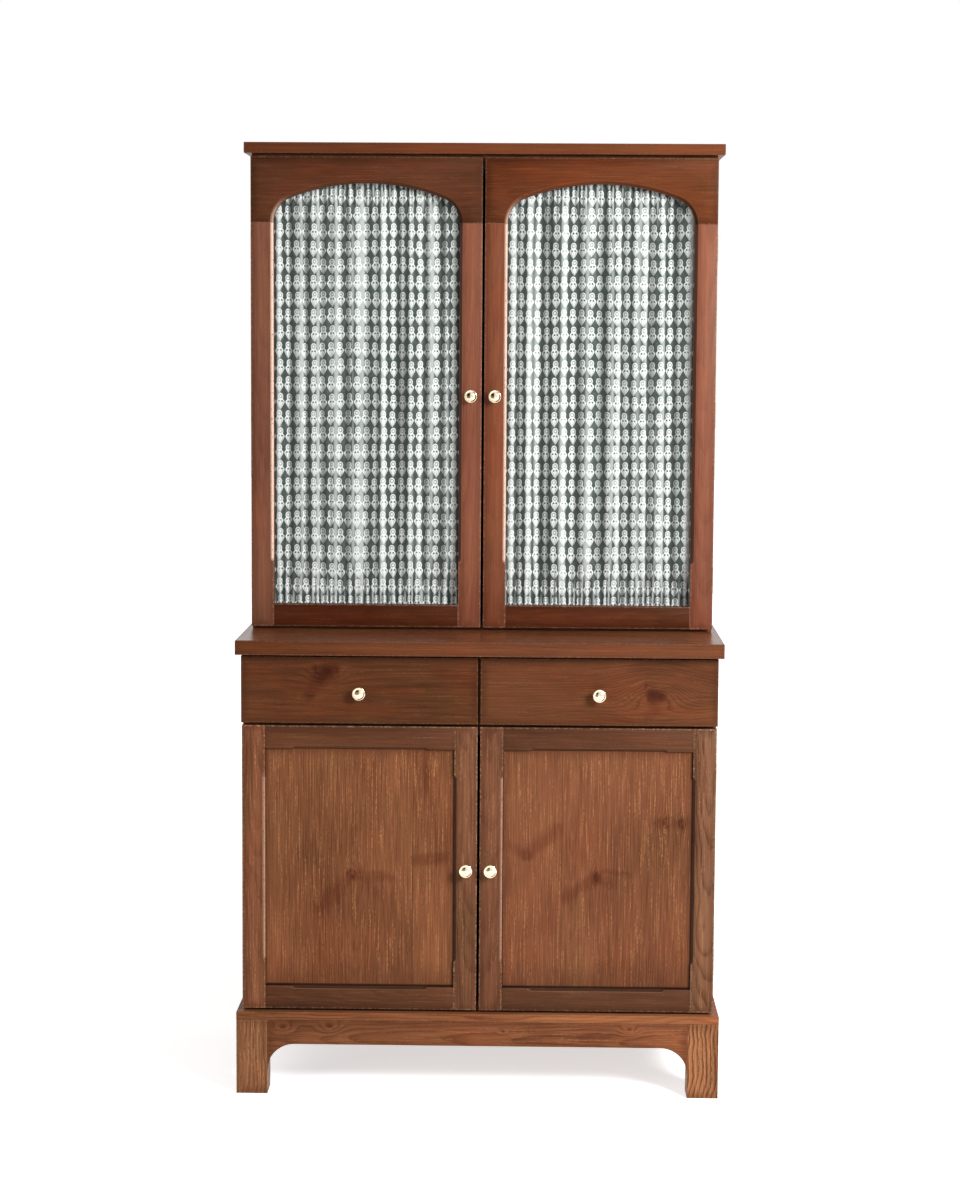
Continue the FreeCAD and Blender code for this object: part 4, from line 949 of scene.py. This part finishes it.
class Folds:
    """Uneven ridges and valleys across a width."""

    # Widths of the folds in shares of their mean, and how much and how fast a
    # fold swells and sinks on its way down
    WIDTHS = (0.62, 0.8, 0.95, 1.1, 1.35, 1.6)
    SWELL, SWELL_PACE = 0.22, 1.7

    def __init__(self, seed, width, mean, depth, drift):
        dice = random.Random(seed)
        steps = []
        while sum(steps) < width:
            steps.append(mean * dice.choice(self.WIDTHS) * dice.uniform(0.9, 1.1))
        self.places = np.concatenate([[0.0], np.cumsum(steps)]) * (width / sum(steps))
        sign = 1 - 2 * (np.arange(len(self.places)) % 2)
        strength = np.array([dice.uniform(0.55, 1.0) for _ in self.places])
        self.depths = sign * strength * depth
        self.phases = np.array([dice.uniform(0, 2 * math.pi) for _ in self.places])
        self.paces = np.array([dice.uniform(0.4, 1.1) for _ in self.places])
        self.drift = drift
        self.width = width

    def at(self, x, height):
        """Depth of the folds at places x, at a share of the curtain's height."""
        turns = 2 * math.pi * self.paces * height
        places = self.places + self.drift * np.sin(turns + self.phases)
        places[0], places[-1] = 0.0, self.width
        places = np.maximum.accumulate(places + np.arange(len(places)) * 1e-6)
        swell = np.sin(turns * self.SWELL_PACE + 2 * self.phases)
        depths = self.depths * (1 + self.SWELL * swell)
        index = np.clip(np.searchsorted(places, x, side="right") - 1, 0, len(places) - 2)
        share = np.clip((x - places[index]) / (places[index + 1] - places[index]), 0, 1)
        blend = (1 - np.cos(math.pi * share)) / 2
        return depths[index] * (1 - blend) + depths[index + 1] * blend


def soft_step(value, low, high):
    """0 at low, 1 at high and a soft rise between them."""
    share = np.clip((value - low) / (high - low), 0, 1)
    return share * share * (3 - 2 * share)


def gather(low, high, settings, seed):
    """Gather a cloth on its rods inside a box.

    Gives its points row by row, how deep in a fold each lies (0 to 1 on a ridge)
    and how far down the cloth each row is.
    """
    top_rod, low_rod = high.z - ROD_TO_END, low.z + ROD_TO_END
    rod_y = high.y - ROD_TO_BACK
    free = np.linspace(top_rod - ROD_TO_FREE, low_rod + ROD_TO_FREE, FREE_ROWS)
    rows = [(rod_y + y, top_rod + z) for y, z in POCKET]
    rows += [(rod_y - ROD_TO_FACE, z) for z in free]
    rows += [(rod_y + y, low_rod - z) for y, z in reversed(POCKET)]
    width = high.x - low.x
    columns = np.linspace(0, width, COLUMNS)
    folds = Folds(seed, width, settings.fold_width, settings.fold_depth, FOLD_DRIFT)
    gathers = Folds(seed + 50, width, settings.gather_width, settings.gather_depth, GATHER_DRIFT)
    creases = Folds(seed + 90, width, settings.crease_width, settings.crease_depth, CREASE_DRIFT)
    points, ridges = [], []
    for y, z in rows:
        height = (z - low_rod) / (top_rod - low_rod)
        from_rod = min(top_rod - z, z - low_rod)
        tight = 0.25 + 0.75 * soft_step(from_rod, *GATHERS_OPEN)
        tight *= 1 - soft_step(from_rod, *GATHERS_END)
        slack = 0.3 + 0.7 * soft_step(from_rod, *CREASES_OPEN)
        broad = folds.at(columns, height) * soft_step(from_rod, *FOLDS_OPEN)
        small = gathers.at(columns, height) * tight
        crease = creases.at(columns, height) * slack
        wave = MOST_WAVE * np.tanh((broad + small + crease) / MOST_WAVE)
        # How deep in a fold the cloth lies, which the cotton turns into painted shade and
        # highlight
        ridges.append(0.55 - 0.45 * np.tanh(
            FOLD_WEIGHT * broad / settings.fold_depth
            + CREASE_WEIGHT * crease / settings.crease_depth
            + GATHER_WEIGHT * small / settings.gather_depth))
        points.append(np.stack([low.x + columns, y + wave, np.full(COLUMNS, z)], axis=1))
    steps = [math.dist(a, b) for a, b in zip(rows, rows[1:])]
    return np.array(points), np.array(ridges), np.concatenate([[0.0], np.cumsum(steps)])


def curtain_cloth(name, node, settings, seed):
    """One sheet of cotton, gathered on two rods, with the print's own map."""
    points, ridges, down = gather(*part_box(node), settings, seed)
    first = np.arange(len(down) - 1)[:, None] * COLUMNS + np.arange(COLUMNS - 1)
    faces = np.stack([first, first + COLUMNS, first + COLUMNS + 1, first + 1], axis=2)
    mesh = bpy.data.meshes.new(name)
    mesh.from_pydata(points.reshape(-1, 3).tolist(), [], faces.reshape(-1, 4).tolist())

    # The print follows the cloth: across it by the way over ridges and valleys
    ways = np.linalg.norm(np.diff(points, axis=1), axis=2).cumsum(axis=1)
    across = np.pad(ways / ways[:, -1:], ((0, 0), (1, 0))) * settings.flat_width
    flat = np.stack([across, np.repeat(down[:, None], COLUMNS, axis=1)], axis=2)
    corners = np.zeros(len(mesh.loops), int)
    mesh.loops.foreach_get("vertex_index", corners)
    layer = mesh.uv_layers.new(name="print")
    layer.data.foreach_set("uv", flat.reshape(-1, 2)[corners].ravel())
    mesh.attributes.new("fold", "FLOAT", "POINT").data.foreach_set("value", ridges.ravel())
    cloth = bpy.data.objects.new(name, mesh)
    bpy.context.scene.collection.objects.link(cloth)
    finish_with(cloth, "SOLIDIFY", thickness=settings.thickness, offset=0.0)
    only(cloth)
    bpy.ops.object.shade_smooth()
    return cloth, float(down[-1])


# The printed bud, in millimetres from the middle of its cell: where its foot is,
# how high it is, its half width, and its outline in shares of those two. A round
# bloom stands over a pointed calyx
BUD_FOOT, BUD_HEIGHT, BUD_HALF = -16.4, 32.7, 8.9
BUD_OUTLINE = (
    (0.0, 0.0), (0.06, 0.15), (0.15, 0.37), (0.25, 0.60), (0.35, 0.82), (0.42, 0.96),
    (0.47, 1.0), (0.53, 0.92), (0.58, 0.75), (0.62, 0.60), (0.66, 0.56), (0.72, 0.63),
    (0.80, 0.68), (0.90, 0.59), (0.96, 0.38), (1.0, 0.0))
# Left unprinted: a ring in the bloom, two seeds at the waist, ribs and a vein
BLOOM_UP, RING_RADIUS = 9.6, 3.2
SEED_OUT, SEED_UP = 3.1, 0.2
RIB_SHARE = 0.62
# The next row stands so far to the side, in shares of a bud's pitch
ROW_SHIFT = 0.26
# The rows bow by so many metres, as in cloth that isn't cut quite on its thread
ROW_BOW = 0.014
# Threads a metre across and along
THREADS_ACROSS, THREADS_ALONG = 3200.0, 3000.0


def printed_cotton(name, settings):
    """Cotton with rows of white buds on a grey green ground, and its weave."""
    shader = Shader(name)
    spot = shader.node("UVMap", {"uv_map": "print"})
    u, v, _ = shader.split(spot)
    v = v + (shader.noise(spot, 8.0, 1.0) - 0.5) * ROW_BOW
    shift = ((v / settings.row_pitch).whole() * 0.5).part() * ROW_SHIFT
    wobble = (shader.noise(spot, 420.0, 2.0) - 0.5) * 0.8
    x = ((u / settings.bud_pitch + shift).part() - 0.5) * settings.bud_pitch * 1000.0
    x = abs(x + wobble)
    y = (0.5 - (v / settings.row_pitch).part()) * settings.row_pitch * 1000.0 + wobble

    height = (y - BUD_FOOT) / BUD_HEIGHT
    reach = shader.ramp(height, *BUD_OUTLINE) * BUD_HALF
    within = (1 - (x - reach).between(-0.5, 0.4)) * height.above(0.0) * (1 - height.above(1.0))
    ring = (1 - abs(hypotenuse(x, y - BLOOM_UP) - RING_RADIUS).between(0.6, 1.3)) * 0.65
    seeds = 1 - hypotenuse(x - SEED_OUT, y - SEED_UP).between(1.4, 2.4)
    ribs = (1 - abs(x - reach * RIB_SHARE).between(0.4, 1.2)) * (
        1 - height.between(0.44, 0.52)) * 0.55
    vein = (1 - x.between(0.3, 1.1)) * (1 - height.between(0.36, 0.44)) * 0.35
    ink = within * (1 - ring.most(seeds).most(ribs).most(vein))
    ink = ink * (shader.noise(spot, 520.0, 3.0) + 0.45)

    ground, bud = (*settings.ground, 1.0), (*settings.bud, 1.0)
    washed = shader.noise(spot, 60.0, 3.0).between(0.35, 0.7) * 0.6
    tint = shader.mix(washed, ground, lighter(ground, 1.9))
    halo = (1 - (x - reach).between(0.2, 2.2)) * 0.5
    tint = shader.mix(halo, tint, lighter(ground, 0.5))
    colour = shader.mix(ink, tint, bud)
    # Painted shade between the folds and painted highlight on their ridges
    ridge = shader.node("Attribute", {"attribute_name": "fold"}, output="Fac")
    colour = shader.mix((1 - ridge.between(0.02, 0.72)) * 0.85, colour, lighter(ground, 0.3))
    colour = shader.mix(ridge.between(0.68, 1.0) * 0.5, colour, lighter(bud, 1.1))
    warp = (u * THREADS_ACROSS * math.pi).math("SINE")
    weft = (v * THREADS_ALONG * math.pi).math("SINE")
    return shader.surface({
        "Base Color": colour, "Roughness": 0.86, "Specular IOR Level": 0.2,
        "Normal": shader.bump(warp * weft, 0.00003, 0.5), "Sheen Weight": 0.12,
        "Sheen Roughness": 0.6})


class CABINET_OT_curtains(bpy.types.Operator):
    """Sew, gather and print the two curtains"""

    bl_idname = "cabinet.curtains"
    bl_label = "Hang the curtains"

    def execute(self, context):
        settings = context.scene.cabinet_curtains
        cotton = printed_cotton("bud_print_cotton", settings)
        for side, seed in (("left", 7), ("right", 23)):
            node = "upper_%s_door_curtain" % side
            cloth, length = curtain_cloth(node + "_cloth", node, settings, seed)
            put_on(cloth, node, cotton)
        return {"FINISHED"}


# Stage

# The card for the knobs is tan up to the first of these heights, in metres, and
# dark from the second. The floor glows more from the one way out to the other
CARD_HEIGHTS = (0.75, 1.75)
GLOW_RISE = (0.7, 3.5)
# Pan, tilt and roll of the camera, in degrees, from a fit to the photograph
CAMERA_TURNS = ((1.15, "Z"), (84.16, "X"), (0.35, "Z"))


def seen_straight(shader):
    """1 for rays from the camera, off a gloss or through glass, else 0."""
    rays = shader.node("LightPath").socket.node.outputs
    camera, gloss, through = [Value(shader, rays["Is %s Ray" % kind])
                              for kind in ("Camera", "Glossy", "Transmission")]
    return camera.most(gloss).most(through)


class CABINET_OT_stage(bpy.types.Operator):
    """Lay the floor, light the cabinet and set the camera"""

    bl_idname = "cabinet.stage"
    bl_label = "Set the stage"

    def execute(self, context):
        settings = context.scene.cabinet_stage
        self.lay_floor()
        self.set_card()
        self.light_room(context.scene, settings.room_light)
        self.lamp("key", settings.key_power, place=(2.5, -3.1, 2.4), aim=(0.0, 0.0, 0.95),
                  size=1.2)
        self.lamp("fill", settings.fill_power, place=(-3.0, -3.2, 2.0), aim=(0.0, 0.0, 0.9),
                  size=2.6)
        self.set_camera(context.scene)
        context.scene.view_settings.view_transform = "Standard"
        return {"FINISHED"}

    def lay_floor(self):
        bpy.ops.object.select_all(action="DESELECT")
        bpy.ops.mesh.primitive_plane_add(size=30, location=(0, 6, 0))
        floor = bpy.context.object
        floor.name = "floor"
        bpy.ops.object.mode_set(mode="EDIT")
        bpy.ops.mesh.subdivide(number_cuts=3)
        bpy.ops.object.mode_set(mode="OBJECT")
        bpy.ops.object.transform_apply(location=True, rotation=True, scale=True)
        give(floor, self.pale_floor())

    def pale_floor(self):
        """White to the camera where nothing shades it."""
        shader = Shader("pale_floor")
        straight = seen_straight(shader)
        tint = shader.mix(straight, srgb(225, 224, 222), srgb(255, 255, 255))
        spot = shader.spot()
        grain = shader.noise(spot, 3.0, 2.0)
        matt = shader.node("BsdfDiffuse", None, {"Color": tint, "Roughness": grain * 0.1 + 0.4})
        x, y, _ = shader.split(spot)
        glow = 0.6 + hypotenuse(x, y).between(*GLOW_RISE) * 0.35
        light = shader.node("Emission", None, {"Color": WHITE, "Strength": straight * glow})
        return shader.finish(shader.node("AddShader", None, [matt, light]))

    def set_card(self):
        """A card at the left, glowing dark above and tan below though no lamp, for the knobs to
        mirror.
        """
        bpy.ops.object.select_all(action="DESELECT")
        bpy.ops.mesh.primitive_plane_add(size=1.0, location=(-1.55, -2.5, 1.95),
                                         rotation=(math.radians(90), 0, math.radians(-25)))
        card = bpy.context.object
        card.name = "flag"
        card.scale = (2.9, 3.8, 1.0)
        bpy.ops.object.transform_apply(location=True, rotation=True, scale=True)
        card.visible_camera = False
        card.visible_shadow = False
        card.visible_diffuse = False
        shader = Shader("flag_glow")
        spot = shader.spot()
        _, _, z = shader.split(spot)
        weave = shader.noise(spot, 300.0, 2.0) * 0.04
        dark = (z + weave).between(*CARD_HEIGHTS)
        tint = shader.mix(dark, srgb(176, 142, 96), srgb(34, 22, 13))
        # It glows at a set brightness, lighting nothing, only for the knobs' reflections
        cloth = shader.node("Emission", None, {"Color": tint, "Strength": 1.0})
        give(card, shader.finish(cloth))

    def light_room(self, scene, strength):
        """Even light from all round, white where the camera or a gloss sees it."""
        scene.world = scene.world or bpy.data.worlds.new("room")
        shader = Shader(owner=scene.world)
        room = shader.node("Background", None, {"Color": WHITE, "Strength": strength})
        backdrop = shader.node("Background", None, {"Color": WHITE, "Strength": 1.0})
        mixed = shader.node("MixShader", None, [seen_straight(shader), room, backdrop])
        shader.finish(mixed, "OutputWorld")

    def lamp(self, name, power, place, aim, size):
        """A square soft lamp that looks at a point."""
        bpy.ops.object.light_add(type="AREA", location=place)
        lamp = bpy.context.object
        lamp.name = name + "_lamp"
        lamp.data.size = size
        lamp.data.energy = power
        lamp.rotation_mode = "QUATERNION"
        lamp.rotation_quaternion = (Vector(aim) - Vector(place)).to_track_quat("-Z", "Y")

    def set_camera(self, scene):
        """The photograph's viewpoint: a long lens a little above the worktop."""
        bpy.ops.object.camera_add(location=(0.100, -5.1725, 1.468))
        camera = bpy.context.object
        camera.name = "photo_camera"
        pan, tilt, roll = [Matrix.Rotation(math.radians(degrees), 3, axis)
                           for degrees, axis in CAMERA_TURNS]
        camera.rotation_mode = "QUATERNION"
        camera.rotation_quaternion = (pan @ tilt @ roll).to_quaternion()
        camera.data.sensor_width = 36.0
        camera.data.lens = 78.87
        camera.data.clip_end = 100.0
        scene.camera = camera


class CABINET_PT_panel(bpy.types.Panel):
    """Settings and steps of the cabinet"""

    bl_idname = "CABINET_PT_panel"
    bl_label = "Cabinet"
    bl_space_type = "VIEW_3D"
    bl_region_type = "UI"
    bl_category = "Cabinet"

    def draw(self, context):
        layout = self.layout
        for name, (group, *operators) in GROUPS.items():
            box = layout.box()
            for setting in group.__annotations__:
                box.prop(getattr(context.scene, name), setting)
            for operator in operators:
                box.operator(operator.bl_idname)


# Settings by their name in the scene, each with the steps that read them
GROUPS = {
    "cabinet_wood": (WoodSettings, CABINET_OT_boards, CABINET_OT_frames),
    "cabinet_knobs": (KnobSettings, CABINET_OT_knobs, CABINET_OT_fittings),
    "cabinet_curtains": (CurtainSettings, CABINET_OT_curtains),
    "cabinet_stage": (StageSettings, CABINET_OT_stage),
}


def register():
    for name, classes in GROUPS.items():
        for each in classes:
            bpy.utils.register_class(each)
        setattr(bpy.types.Scene, name, bpy.props.PointerProperty(type=classes[0]))
    bpy.utils.register_class(CABINET_PT_panel)


def unregister():
    bpy.utils.unregister_class(CABINET_PT_panel)
    for name, classes in GROUPS.items():
        delattr(bpy.types.Scene, name)
        for each in reversed(classes):
            bpy.utils.unregister_class(each)


def main():
    """Dress the cabinet, step by step."""
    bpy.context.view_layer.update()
    register()
    bpy.ops.cabinet.boards()
    bpy.ops.cabinet.frames()
    bpy.ops.cabinet.knobs()
    bpy.ops.cabinet.fittings()
    bpy.ops.cabinet.curtains()
    bpy.ops.cabinet.stage()
    bpy.context.view_layer.update()


if __name__ == "__main__":
    main()
